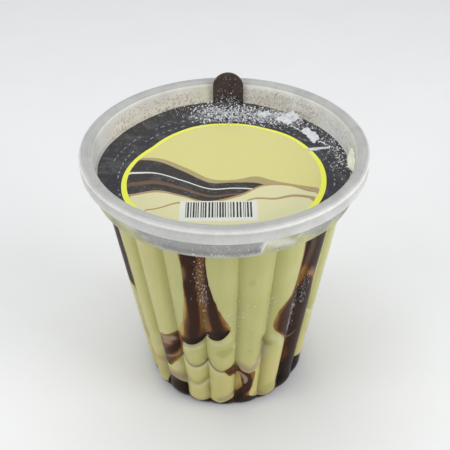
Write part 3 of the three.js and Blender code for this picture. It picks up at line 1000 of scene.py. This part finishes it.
# cream tones, with the tones of its painted shade, painted highlight and painted crease shade
iceCreamLook = {
    "crest": tone(172, 171, 104),
    "pale": tone(181, 179, 116),
    "valley": tone(147, 144, 58),
    "white": tone(198, 195, 154),
    "low": tone(190, 180, 112),
    "stain": tone(144, 118, 98),
    "fold": tone(78, 56, 24),
}


def iceCreamMaterial():
    material, tree, shader = newMaterial("iceCream", {
        "Roughness": 0.42,
        "IOR": 1.4,
        "Subsurface Weight": 0.12,
        "Subsurface Radius": (1, 0.9, 0.5),
        "Subsurface Scale": 0.0015,
        "Coat Weight": 0.25,
        "Coat Roughness": 0.3,
    })
    cloudy = spread(tree, grain(tree, 70, 3, 0.55), 0.3, 0.7)
    fine = grain(tree, 1400, 3, 0.6)
    cream = mixTones(tree, cloudy, iceCreamLook["crest"], iceCreamLook["pale"])
    for name in ("low", "valley", "white", "stain", "fold"):
        cream = mixTones(tree, layer(tree, name), cream, iceCreamLook[name])
    pores = spread(tree, fine, 0.66, 0.74)
    cream = mixTones(tree, reckon(tree, "MULTIPLY", pores, 0.12), cream, iceCreamLook["valley"])
    finishLook(tree, shader, cream, fine, 0.06, 0.0002)
    return material


syrupLook = {
    "stops": [
        (0.0, tone(176, 154, 92)), (0.22, tone(122, 86, 36)), (0.45, tone(78, 42, 14)),
        (0.7, tone(57, 26, 8)), (0.88, tone(46, 22, 9)), (1.0, tone(22, 13, 9)),
    ],
    "milky": tone(148, 124, 104),
    "edge": 1.5,  # how far in from its outline the syrup is thin
    "thin": 0.12,  # thickness at the outline, in the front run, in the others and in the pool
    "frontDark": 0.42,
    "dark": 0.9,
    "deep": 0.97,
}


def syrupMaterial():
    material, tree, shader = newMaterial("syrup", {
        "Roughness": 0.35,
        "IOR": 1.35,
        "Specular IOR Level": 0.12,
    })
    cloudy = grain(tree, 260, 3, 0.6, (1, 1, 0.35))
    wander = reckon(tree, "ADD", layer(tree, "thick"), spread(tree, cloudy, 0.3, 0.7, -0.1, 0.1))
    colour = toneRamp(tree, wander, syrupLook["stops"])
    colour = mixTones(tree, layer(tree, "milky"), colour, syrupLook["milky"])
    finishLook(tree, shader, colour, cloudy, 0.08, 0.0003)
    return material


def paintSyrup(piece, node):
    # thin at its outline, thick where it lies deep, and pale where cream is stirred in
    heading, height, _ = wallPlace(meshPoints(piece))
    edge = np.full(len(heading), 1e9)
    for part in syrupNodes[node]:
        for x, y in smoothLine(np.array(streaks[part], float) * (flatDegree, 1), 14, closed=True):
            across = turnBetween(heading, x / flatDegree) * flatDegree
            edge = np.minimum(edge, np.hypot(across, height - y))
    dark = syrupLook["frontDark"] if node == "syrup_front" else syrupLook["dark"]
    thick = lerp(syrupLook["thin"], dark, smooth(edge, 0, syrupLook["edge"]))
    if node == "syrup_pool":
        deep = smooth(height, poolLevel(heading) + 1.5, poolLevel(heading) - 1.5)
        thick = lerp(thick, syrupLook["deep"], deep)
    for line, soft, value in runs.get(node, []):
        thick = lerp(thick, value, marks(heading, height, [(line, soft, 1)]))
    paint(piece, thick=thick, milky=marks(heading, height, milky.get(node, [])))


whole = buildFilling()
iceCream = copyOf(whole, "iceCream")
syrupPaint = syrupMaterial()
for node in syrupNodes:
    cutWith(iceCream, syrupSpace(node, filling["syrupGap"]), "DIFFERENCE")
    piece = copyOf(whole, node.replace("_", "-"))
    cutWith(piece, syrupSpace(node), "INTERSECT")
    paintSyrup(piece, node)
    shadeSmooth(piece)
    dress(piece, syrupPaint, "syrup", node)
    print("syrup built:", piece.name, len(piece.data.polygons), "faces")
bpy.data.objects.remove(whole)

pressFolds(iceCream)
shadeSmooth(iceCream)
dress(iceCream, iceCreamMaterial(), "ice_cream", "ice_cream")
print("ice cream built:", len(iceCream.data.polygons), "faces")


# cream pressed against the shoulder, and over the edge of the lid
smears = {
    "inner": 37.25,
    "outer": 37.72,
    "ragged": 0.45,  # unevenness of the upper edge
    "edge": 0.12,  # thickness at the edge, and how far in it is rounded
    "rounded": 0.8,
    "pitted": 0.06,
    "endFade": 6,
    "tones": (tone(234, 236, 208), tone(248, 250, 234)),
    "patches": [  # heading from and to, height from and to, and how far it swells inward over the lid
        (-98, -40, 74.9, 78.2, 0), (12.5, 28.5, 74.9, 78.2, 0), (80, 97, 78.8, 82, 1.6),
        (118, 170, 74.9, 77.9, 0), (180, 232, 74.9, 77.9, 0),
    ],
}


def buildSmears():
    material, tree, shader = newMaterial("creamFilm", {
        "Roughness": 0.5, "Coat Weight": 0.2, "Coat Roughness": 0.3,
    })
    blotches = spread(tree, grain(tree, 350, 4, 0.6), 0.35, 0.65)
    finishLook(tree, shader, mixTones(tree, blotches, *smears["tones"]), blotches, 0.3, 0.0002)
    for number, (start, end, low, high, swell) in enumerate(smears["patches"]):
        width = end - start
        lower = [(start + width * s, low) for s in np.linspace(0, 1, 24)]
        upper = [
            (start + width * s, lerp(low + 0.4, high, min(1, 5 * s, 5 * (1 - s)) ** 0.5))
            for s in np.linspace(1, 0, 40)
        ]
        outline = np.array(lower + upper[1:-1]) * (flatDegree, 1)
        ragged = smears["ragged"] * softNoise(outline[:, 0] * 1.6, outline[:, 1], 20 + number)
        outline[:, 1] += ragged * (outline[:, 1] > low + 0.3)
        flat, triangles = triangulate(outline, 0.6)
        heading, height = flat[:, 0] / flatDegree, flat[:, 1]
        away = np.min(np.linalg.norm(flat[:, None] - outline[None], axis=2), axis=1)
        thickness = smears["outer"] - smears["inner"]
        inner = smears["outer"] - lerp(smears["edge"], thickness, smooth(away, 0, smears["rounded"]))
        inner = inner + smears["pitted"] * softNoise(flat[:, 0] * 3, flat[:, 1] * 3, 40 + number)
        fade = smears["endFade"]
        ends = smooth(heading, start, start + fade) * smooth(heading, end, end - fade)
        inner = inner - swell * ends * smooth(height, high - 0.5, low) ** 2
        piece = slab("creamSmear%d" % (number + 1), triangles, onWall(heading, height, inner),
                     onWall(heading, height, smears["outer"] + 0 * height))
        shadeSmooth(piece, 70)
        dress(piece, material, "ice_cream")


buildSmears()
print("cream smears built")


# the lid's film is printed with plain waves, bars and dashes
lid = {
    "radius": 37.2,
    "thickness": 0.45,
    "wave": 0.12,  # height of the puckers, their length, and the radii between which they begin
    "waveLength": 7,
    "waveFrom": (8, 34),
    "edge": [  # heading and radius of the puckered edge
        (-170, 36.6), (-153, 36.5), (-147, 36.0), (-138, 35.7), (-131, 35.2), (-124, 35.7), (-116, 35.9),
        (-106, 36.6), (-90, 37.1), (0, 37.2), (90, 36.6), (105, 36.4), (114, 36.2), (127, 35.5), (136, 35.3),
        (146, 35.5), (154, 35.8), (163, 36.5), (175, 36.9),
    ],
    "ringCentre": (0.4, -7.05),  # the bright ring is set forward on the film, and pulled in where it puckers
    "ring": [  # heading and radius about that centre
        (-170, 29.7), (-159, 29.5), (-150, 28.8), (-141, 28.3), (-126, 27.3), (-118, 27.9), (-111, 28.4),
        (-97, 29.3), (-85, 29.9), (-68, 30.6), (0, 29.4), (64, 28.9), (85, 28.7), (111, 28.9), (123, 29.1),
        (138, 29.6), (156, 29.3), (165, 29.7), (178, 29.6),
    ],
    "ringWidth": (1.0, 1.9),  # at the back and at the front
    "waves": [  # each ink fills the field in front of its wavy line, later ones on top
        ("sand", [(-40, 3), (-27, 3), (-19, 2.4), (-11, -2.9), (-3.4, -8.8), (3, -9), (9, -7.4), (15, -10),
                  (40, -17)]),
        ("brown", [(-40, 2), (-27, 1.9), (-20, 1), (-12, -4.5), (-4, -10.5), (3, -10.4), (10, -11), (17, -16),
                   (24, -18), (40, -20)]),
        ("white", [(-40, -4.4), (-27, -4.6), (-20, -5), (-12, -9), (-4, -13.3), (3, -13), (10, -14),
                   (17, -18.6), (40, -24)]),
        ("brown", [(-40, -5.4), (-27, -5.6), (-20, -5.6), (-12, -9.5), (-4, -13.8), (3, -13.5), (10, -14.6),
                   (17, -19.4), (40, -25)]),
        ("cocoa", [(-40, -9), (-27, -10), (-20, -9), (-12, -12.4), (-4, -16.6), (3, -15.8), (10, -16.6),
                   (17, -20.8), (40, -27)]),
        ("brown", [(-40, -11), (-27, -12), (-20, -10.8), (-12, -13.8), (-4, -17.6), (3, -16.6), (10, -17.6),
                   (17, -21.6), (40, -28)]),
        ("tan", [(-40, -16), (-27, -16), (-19, -14), (-12, -16.4), (-5, -19.4), (4, -16.4), (11, -11.6),
                 (18, -11.5), (24, -14.5), (40, -17)]),
        ("cream", [(-40, -17), (-27, -17), (-19, -15), (-12, -17.2), (-5, -20.2), (4, -17.4), (11, -12.4),
                   (18, -12.2), (24, -15.2), (40, -18)]),
        ("tan", [(-40, -24), (-20, -23), (-12, -19.6), (-5, -23), (2, -22), (8, -18), (14, -18), (20, -16.4),
                 (40, -24)]),
        ("cream", [(-40, -24.6), (-20, -23.6), (-12, -20.4), (-5, -23.6), (2, -22.6), (8, -18.8), (14, -18.9),
                   (20, -17.6), (40, -25)]),
    ],
    "hoar": [  # haze of frost: place across and back, spread both ways, strength
        (-7, 28.5, 6, 7, 0.7), (3, 29, 7, 7, 0.9), (13, 27, 6, 7, 0.85), (20, 25.5, 4.5, 4.5, 1.0),
        (24.5, 21, 3, 3, 0.5), (31, 9, 3, 7, 0.5), (33, -2, 2.5, 5, 0.45), (-22, 22, 6, 5, 0.12),
    ],
    "codePanel": (-12.3, -28.6, 8.9, -19.4),  # left, front, right, back
    "barWidths": [0.2, 0.32, 0.5],
    "barGaps": [0.24, 0.36, 0.5],
    "barMargins": (1.6, 1.6, 1.8, 0.5),  # in the same order
    "dashEdge": 3.5,  # kept free of dashes
    "dashRings": [(31.0, 84, 0.34), (34.2, 92, 0.3)],  # radius, number of dashes, dash width
}
inks = {
    "charcoal": tone(43, 42, 47),
    "yellow": tone(244, 246, 78),
    "pale": tone(221, 214, 138),
    "brown": tone(54, 48, 46),
    "cocoa": tone(108, 84, 62),
    "sand": tone(176, 158, 110),
    "tan": tone(178, 150, 104),
    "cream": tone(224, 220, 170),
    "white": tone(228, 229, 217),
    "black": tone(44, 44, 46),
    "dash": tone(150, 149, 152),
    "haze": tone(212, 212, 210),
    "speck": tone(232, 232, 232),
    "crust": tone(196, 196, 199),
}


def panel(left, front, right, back):
    return np.array([(left, front), (right, front), (right, back), (left, back)], float)


def roundOutline(knots, centre=(0, 0), inset=0.0, insetFront=0.0):
    # a closed outline from (heading, radius) knots
    headings = np.arange(0, 360, 2.0)
    places, radii = np.array(knots, float).T
    radii = np.interp(headings, places, radii, period=360)
    for _ in range(3):
        radii = (np.roll(radii, 1) + 2 * radii + np.roll(radii, -1)) / 4
    front = (1 + np.cos(np.radians(headings))) / 2
    radii = radii - lerp(inset, insetFront, front)
    return onWall(headings, 0, radii)[:, :2] + centre


def frontOfWave(knots, field):
    # the part of the field that lies in front of a smooth wavy line from left to right
    line = smoothLine(knots, 10)
    line = line[insideOf(field, line)]
    middle = field.mean(0)
    turned = [np.degrees(math.atan2(*(p - middle))) for p in (line[-1], line[0])]
    angles = np.degrees(np.arctan2(*(field - middle).T))
    ahead = np.mod(angles - turned[0], 360)
    reach = (turned[1] - turned[0]) % 360
    order = np.argsort(ahead)
    arc = (field[order] - middle)[(ahead[order] > 1) & (ahead[order] < reach - 1)] * 0.999 + middle
    return np.concatenate([line, arc])


def printedShapes():
    # closed outlines in the lid's plane with their ink, later ones on top
    field = roundOutline(lid["ring"], lid["ringCentre"], *lid["ringWidth"])
    shapes = [("yellow", roundOutline(lid["ring"], lid["ringCentre"])), ("pale", field)]
    for ink, wave in lid["waves"]:
        shapes.append((ink, frontOfWave(wave, field)))
    left, front, right, back = lid["codePanel"]
    shapes.append(("white", panel(left, front, right, back)))
    rng = np.random.default_rng(11)
    atLeft, atFront, atRight, atBack = lid["barMargins"]
    spot = left + atLeft
    while spot < right - atRight:
        width = rng.choice(lid["barWidths"])
        shapes.append(("black", panel(spot, front + atFront, spot + width, back - atBack)))
        spot += width + rng.choice(lid["barGaps"])
    for radius, count, width in lid["dashRings"]:
        for number in range(count):
            angle = 2 * math.pi * number / count
            half = (0.25 + 0.12 * ((number * 7) % 5)) / radius
            ends = panel(radius - width / 2, angle - half, radius + width / 2, angle + half)
            corners = [(r * math.cos(a), r * math.sin(a)) for r, a in ends] + np.array(lid["ringCentre"])
            if number % 9 < 7 and np.hypot(*corners.T).max() < lid["radius"] - lid["dashEdge"]:
                shapes.append(("dash", corners))
    return shapes


def lidWave(x, y):
    radius = np.hypot(x, y)
    length = lid["waveLength"]
    return lid["wave"] * softNoise(x / length, y / length, 2) * smooth(radius, *lid["waveFrom"])


def buildLid():
    shapes = printedShapes()
    rim = roundOutline(lid["edge"])
    flat, triangles = triangulate(rim, 1.5, [outline for _, outline in shapes])
    x, y = flat.T
    lower = np.stack([x, y, lidLow + lidWave(x, y)], 1)
    upper = lower + (0, 0, lid["thickness"])
    piece = slab("lidFilm", triangles, lower, upper)
    middles = np.array([face.center[:2] for face in piece.data.polygons]) / mm
    colours = np.tile(inks["charcoal"], (len(middles), 1))
    for ink, outline in shapes:
        colours[insideOf(outline, middles)] = inks[ink]
    cover = np.array([face.normal.z for face in piece.data.polygons]) > 0.5
    colours[~cover] = inks["white"]
    x, y = meshPoints(piece)[:, :2].T
    hoar = np.zeros(len(x))
    for placeX, placeY, spreadX, spreadY, strength in lid["hoar"]:
        hoar += strength * bell(x - placeX, spreadX) * bell(y - placeY, spreadY)
    paint(piece, hoar=hoar)
    layerOfInk = piece.data.color_attributes.new("ink", "FLOAT_COLOR", "CORNER")
    loops = np.repeat(colours, [face.loop_total for face in piece.data.polygons], axis=0)
    layerOfInk.data.foreach_set("color", loops.astype(np.float32).ravel())
    shadeSmooth(piece, 30)
    return piece


def lidMaterial():
    material, tree, shader = newMaterial("printedFilm", {
        "Roughness": 0.32,
        "IOR": 1.45,
        "Specular IOR Level": 0.35,
        "Coat Weight": 0.1,
        "Coat Roughness": 0.18,
    })
    ink = addNode(tree, "Attribute", attribute_name="ink").outputs["Color"]
    haze = spread(tree, grain(tree, 260, 5, 0.65), 0.5, 0.8)
    speck = spread(tree, grain(tree, 2200, 2, 0.5), 0.68, 0.74)
    crust = reckon(tree, "MULTIPLY", layer(tree, "hoar"), 0.45)
    flecks = spread(tree, grain(tree, 1250, 3, 0.75), 0.3, 0.7)
    crust = reckon(tree, "ADD", crust, flecks, False)
    colour = mixTones(tree, reckon(tree, "MULTIPLY", haze, 0.14), ink, inks["haze"])
    colour = mixTones(tree, reckon(tree, "MULTIPLY", speck, 0.25), colour, inks["speck"])
    colour = mixTones(tree, spread(tree, crust, 0.86, 1.15, 0, 0.85), colour, inks["crust"])
    finishLook(tree, shader, colour, grain(tree, 90, 3, 0.5), 0.2, 0.0006)
    return material


tab = {
    "heading": 177.9,
    "width": 9.8,
    "radius": 36.8,
    "thickness": 0.5,
    "bend": 0.5,  # how far it leans in, from this far under the lip upward
    "bendFrom": 2,
    "tones": (tone(58, 44, 42), tone(74, 58, 55)),
    "specks": tone(196, 188, 186),
}


def tabLean(height):
    return tab["bend"] * smooth(height, lipTop - tab["bendFrom"], lidTabTop)


def buildTab():
    half = tab["width"] / 2
    centre = lidTabTop - half
    arc = [(half * math.cos(a), centre + half * math.sin(a)) for a in np.linspace(0, math.pi, 25)]
    outline = np.array([(-half, lidLow + 0.1), (half, lidLow + 0.1), *arc])
    flat, triangles = triangulate(outline, 0.8)
    heading = tab["heading"] + np.degrees(flat[:, 0] / tab["radius"])
    height = flat[:, 1]
    lean = tabLean(height)
    inner = onWall(heading, height, tab["radius"] - lean)
    outer = onWall(heading, height, tab["radius"] - lean + tab["thickness"])
    piece = slab("lidTab", triangles, inner, outer)
    shadeSmooth(piece, 40)
    material, tree, shader = newMaterial("darkTab", {
        "Roughness": 0.42, "Coat Weight": 0.2, "Coat Roughness": 0.25,
    })
    worn = spread(tree, grain(tree, 300, 4, 0.6), 0.4, 0.7)
    specks = spread(tree, grain(tree, 2600, 2, 0.5), 0.67, 0.71)
    colour = mixTones(tree, worn, *tab["tones"])
    colour = mixTones(tree, reckon(tree, "MULTIPLY", specks, 0.6), colour, tab["specks"])
    finishLook(tree, shader, colour, worn, 0.1, 0.0003)
    dress(piece, material, "printed_film", "lid")


lidFilm = buildLid()
dress(lidFilm, lidMaterial(), "printed_film", "lid")
buildTab()
print("lid and tab built")


def crumbs(name, spots, sizes, seed):
    # scatters small uneven lumps of ice, each a squashed and turned ball of few faces
    body = bmesh.new()
    bmesh.ops.create_icosphere(body, subdivisions=1, radius=0.5)
    ball = np.array([v.co[:] for v in body.verts])
    facets = np.array([[v.index for v in f.verts] for f in body.faces])
    body.free()
    rng = np.random.default_rng(seed)
    count = len(spots)
    turns = np.linalg.qr(rng.normal(size=(count, 3, 3)))[0]
    stretch = rng.uniform(frost["flattest"], 1.3, (count, 1, 3))
    lumps = ball[None] * stretch * rng.uniform(0.7, 1.2, (count, len(ball), 1))
    lumps = np.einsum("nij,nkj->nki", turns, lumps) * np.asarray(sizes)[:, None, None]
    points = (lumps + np.asarray(spots)[:, None]).reshape(-1, 3)
    faces = (facets[None] + (np.arange(count) * len(ball))[:, None, None]).reshape(-1, 3)
    flip = np.linalg.det(turns) < 0
    faces = faces.reshape(count, -1, 3)
    faces[flip] = faces[flip][:, :, ::-1]
    return makeObject(name, points, faces.reshape(-1, 3).tolist())


def frostMaterial(name, dark, light):
    material, tree, shader = newMaterial(name, {
        "Roughness": 0.55,
        "Subsurface Weight": 0.3,
        "Subsurface Radius": (1, 1, 1),
        "Subsurface Scale": 0.001,
    })
    shade = mixTones(tree, spread(tree, grain(tree, 900, 3), 0.35, 0.65), dark, light)
    finishLook(tree, shader, shade)
    return material


frost = {
    "flattest": 0.6,
    "tones": {
        "frost": (tone(196, 197, 200), tone(236, 237, 238)),
        "icyFlake": (tone(214, 215, 219), tone(240, 241, 244)),
        "wallFrost": (tone(224, 223, 218), tone(250, 250, 247)),
        "rime": (tone(178, 177, 150), tone(226, 226, 212)),
        "creamCrumb": (tone(222, 223, 192), tone(240, 241, 222)),
    },
    # on the lid: heading, radius, spread along, spread across, how many, largest size
    "lid": [
        (186, 27.5, 10, 2.6, 340, 0.8), (184, 32, 10, 2.4, 300, 0.75), (166, 29, 9, 3.2, 420, 0.85),
        (152, 31, 7, 2.6, 280, 0.8), (142, 33, 6, 2.0, 300, 0.9), (124, 34, 8, 1.4, 120, 0.55),
        (106, 34.4, 7, 1.2, 160, 0.6), (92, 34.6, 8, 1.2, 170, 0.6), (202, 34.6, 9, 1.2, 60, 0.4),
        (230, 34, 16, 1.6, 30, 0.3), (180, 20, 60, 14, 80, 0.22),
    ],
    # on the inner wall: heading, height, spread along, spread up, how many, largest size
    "inner": [
        (163, 81.6, 7, 1.9, 480, 0.58), (150, 81.2, 6, 1.8, 440, 0.62), (138, 80.6, 6, 1.6, 280, 0.64),
        (122, 80.8, 8, 1.5, 240, 0.55), (108, 80.4, 7, 1.4, 160, 0.5), (94, 81.4, 8, 1.6, 240, 0.42),
        (210, 81.4, 22, 1.8, 120, 0.3), (260, 81.6, 26, 1.6, 40, 0.25),
    ],
    # on the outer wall, along the flutes: heading, height, spread along, spread up, how many, largest size
    "outer": [
        (3.8, 45.6, 1.6, 2.6, 75, 0.40), (8.5, 45, 2.2, 5, 112, 0.35), (6.4, 52, 1.6, 4, 38, 0.27),
        (6, 37, 0.9, 4, 58, 0.32), (5.4, 31.5, 0.5, 1.2, 25, 0.34),
        (24.4, 49, 1.2, 3.4, 75, 0.37), (23.6, 44, 1.0, 3, 75, 0.40), (23.4, 38, 0.8, 3, 50, 0.32),
        (-30, 50, 0.9, 3, 32, 0.29), (-29, 43, 0.9, 3, 38, 0.32), (-28, 66, 1.2, 8, 30, 0.21),
        (59.9, 50, 1, 8, 62, 0.24), (-48, 44, 1, 9, 50, 0.24), (96, 46, 1.2, 9, 100, 0.27),
        (132, 48, 1.2, 9, 100, 0.27), (186, 44, 1.2, 10, 100, 0.27), (258, 48, 1.2, 9, 100, 0.27),
    ],
    # on the outer wall over the syrup, in the same form
    "streaks": [
        (-11.6, 67, 1.5, 2.6, 70, 0.3), (-11.8, 58.5, 1.6, 3.2, 125, 0.35), (-11.2, 52, 1.2, 2.4, 75, 0.32),
        (-11.4, 43, 0.6, 3, 32, 0.29), (-10.6, 36.8, 0.4, 1.4, 25, 0.32), (-14, 61.5, 1, 1.2, 15, 0.29),
        (38.8, 40, 0.9, 5, 100, 0.36), (46, 52, 1.2, 3, 60, 0.34), (41.6, 43, 0.9, 5, 90, 0.33),
        (45.6, 46, 1.3, 2.2, 50, 0.36), (43, 34, 0.6, 3, 30, 0.28),
    ],
    # on the band under the lip
    "band": [(-6, 75, 26, 0.5, 160, 0.34), (-10, 77.8, 22, 1.5, 160, 0.3), (44, 77, 9, 1.4, 60, 0.3)],
    # cream crumbs on the inner wall
    "cream": [(88, 81, 7, 1.3, 260, 0.55), (84, 79.6, 7, 0.6, 160, 0.5), (70, 80, 9, 0.8, 50, 0.35)],
    # on the tab, across and up: place, height, spread across, spread up, how many, largest size
    "tab": [(0, 79.6, 2.4, 1.1, 120, 0.504), (0, 82, 2.4, 3, 60, 0.36)],
    "icyFlakes": 2,  # how many of the flakes are clearer ice
    "flakeThickness": (0.16, 0.14),  # least, and how much more at most
    # flakes of ice lying on the lid: outlines across and back
    "flakes": [
        [(16.4, 25), (18.6, 27.6), (21, 29.4), (22.4, 30.6), (23.4, 28), (24, 25), (22, 23.6), (20.6, 21.6),
         (18.4, 22.8)],
        [(24, 17.4), (26, 19.7), (27.4, 17.4), (28.7, 15.9), (28.8, 12.6), (27, 11), (25.8, 13.6),
         (25, 15.6)],
        [(24.6, 6.9), (28, 7.5), (32.4, 8.6), (32.2, 8.0), (28.4, 6.5), (25, 6.1)],
        [(20.8, 21), (22, 19.9), (24, 17.9), (24.4, 17.1), (22.8, 18.6)],
        [(29, 11.6), (30.6, 10.2), (31, 9.4), (29.6, 10.4), (28.6, 11)],
        [(10.6, 28.4), (13, 30), (15, 29), (14, 27), (11.6, 26.6)],
    ],
}


def buildFrost():
    looks = {name: frostMaterial(name, *tones) for name, tones in frost["tones"].items()}
    rng = np.random.default_rng(21)

    def scatter(rows, place, name, seed, look="frost"):
        spots, sizes = [], []
        for heading, second, spreadA, spreadB, count, largest in rows:
            a = heading + spreadA * rng.normal(size=count)
            b = second + spreadB * rng.normal(size=count)
            size = largest * (0.25 + 0.75 * rng.random(count) ** 3)
            keep, where = place(a, b, size)
            spots.append(where[keep])
            sizes.append(size[keep])
        piece = crumbs(name, np.concatenate(spots), np.concatenate(sizes), seed)
        dress(piece, looks[look], "ice_cream")

    def onLid(heading, radius, size):
        where = onWall(heading, 0, radius)
        where[:, 2] = lidLow + lid["thickness"] + lidWave(where[:, 0], where[:, 1]) + size * 0.15
        return (radius < lid["radius"] - 0.3) & (radius > 0), where

    def onTab(across, height, size):
        inner = tab["radius"] - tabLean(height) - size * 0.1
        where = onWall(tab["heading"] + np.degrees(across / tab["radius"]), height, inner)
        return (np.abs(across) < tab["width"] / 2 - 0.2) & (height < lidTabTop - 0.6), where

    def onInner(heading, height, size):
        radius = cup["shoulderInner"] + 0.2 - size * 0.15
        return (height > 79) & (height < lipTop - 1.7), onWall(heading, height, radius)

    def onOuter(heading, height, size):
        radius = wallRadius(heading, height) + size * 0.05
        return (height > 2) & (height < cup["bodyTop"] - 1), onWall(heading, height, radius)

    def onBand(heading, height, size):
        rise = (height - cup["bodyTop"] - 0.5) / (cup["shoulderTop"] - cup["bodyTop"] - 0.75)
        radius = lerp(cup["shoulderLow"], cup["shoulderHigh"], rise) + size * 0.05
        return (rise > 0) & (rise < 0.95), onWall(heading, height, radius)

    scatter(frost["lid"], onLid, "frostOnLid", 1)
    scatter(frost["tab"], onTab, "frostOnTab", 4)
    least, more = frost["flakeThickness"]
    for number, outline in enumerate(frost["flakes"]):
        ragged = smoothLine(outline, 4, closed=True)
        ragged = ragged + 0.22 * rng.normal(size=ragged.shape)
        flat, triangles = triangulate(ragged, 0.7)
        lower = np.column_stack([flat, lidLow + lid["thickness"] + lidWave(*flat.T) - 0.03])
        upper = lower.copy()
        upper[:, 2] += least + more * rng.random(len(flat))
        piece = slab("iceFlake%d" % (number + 1), triangles, lower, upper)
        dress(piece, looks["icyFlake" if number < frost["icyFlakes"] else "frost"], "ice_cream")
    scatter(frost["inner"], onInner, "frostInside", 2, "wallFrost")
    scatter(frost["outer"], onOuter, "frostOutside", 3, "rime")
    scatter(frost["streaks"], onOuter, "frostOnStreaks", 7)
    scatter(frost["band"], onBand, "frostOnBand", 5)
    scatter(frost["cream"], onInner, "creamCrumbs", 6, "creamCrumb")


buildFrost()
print("frost built")
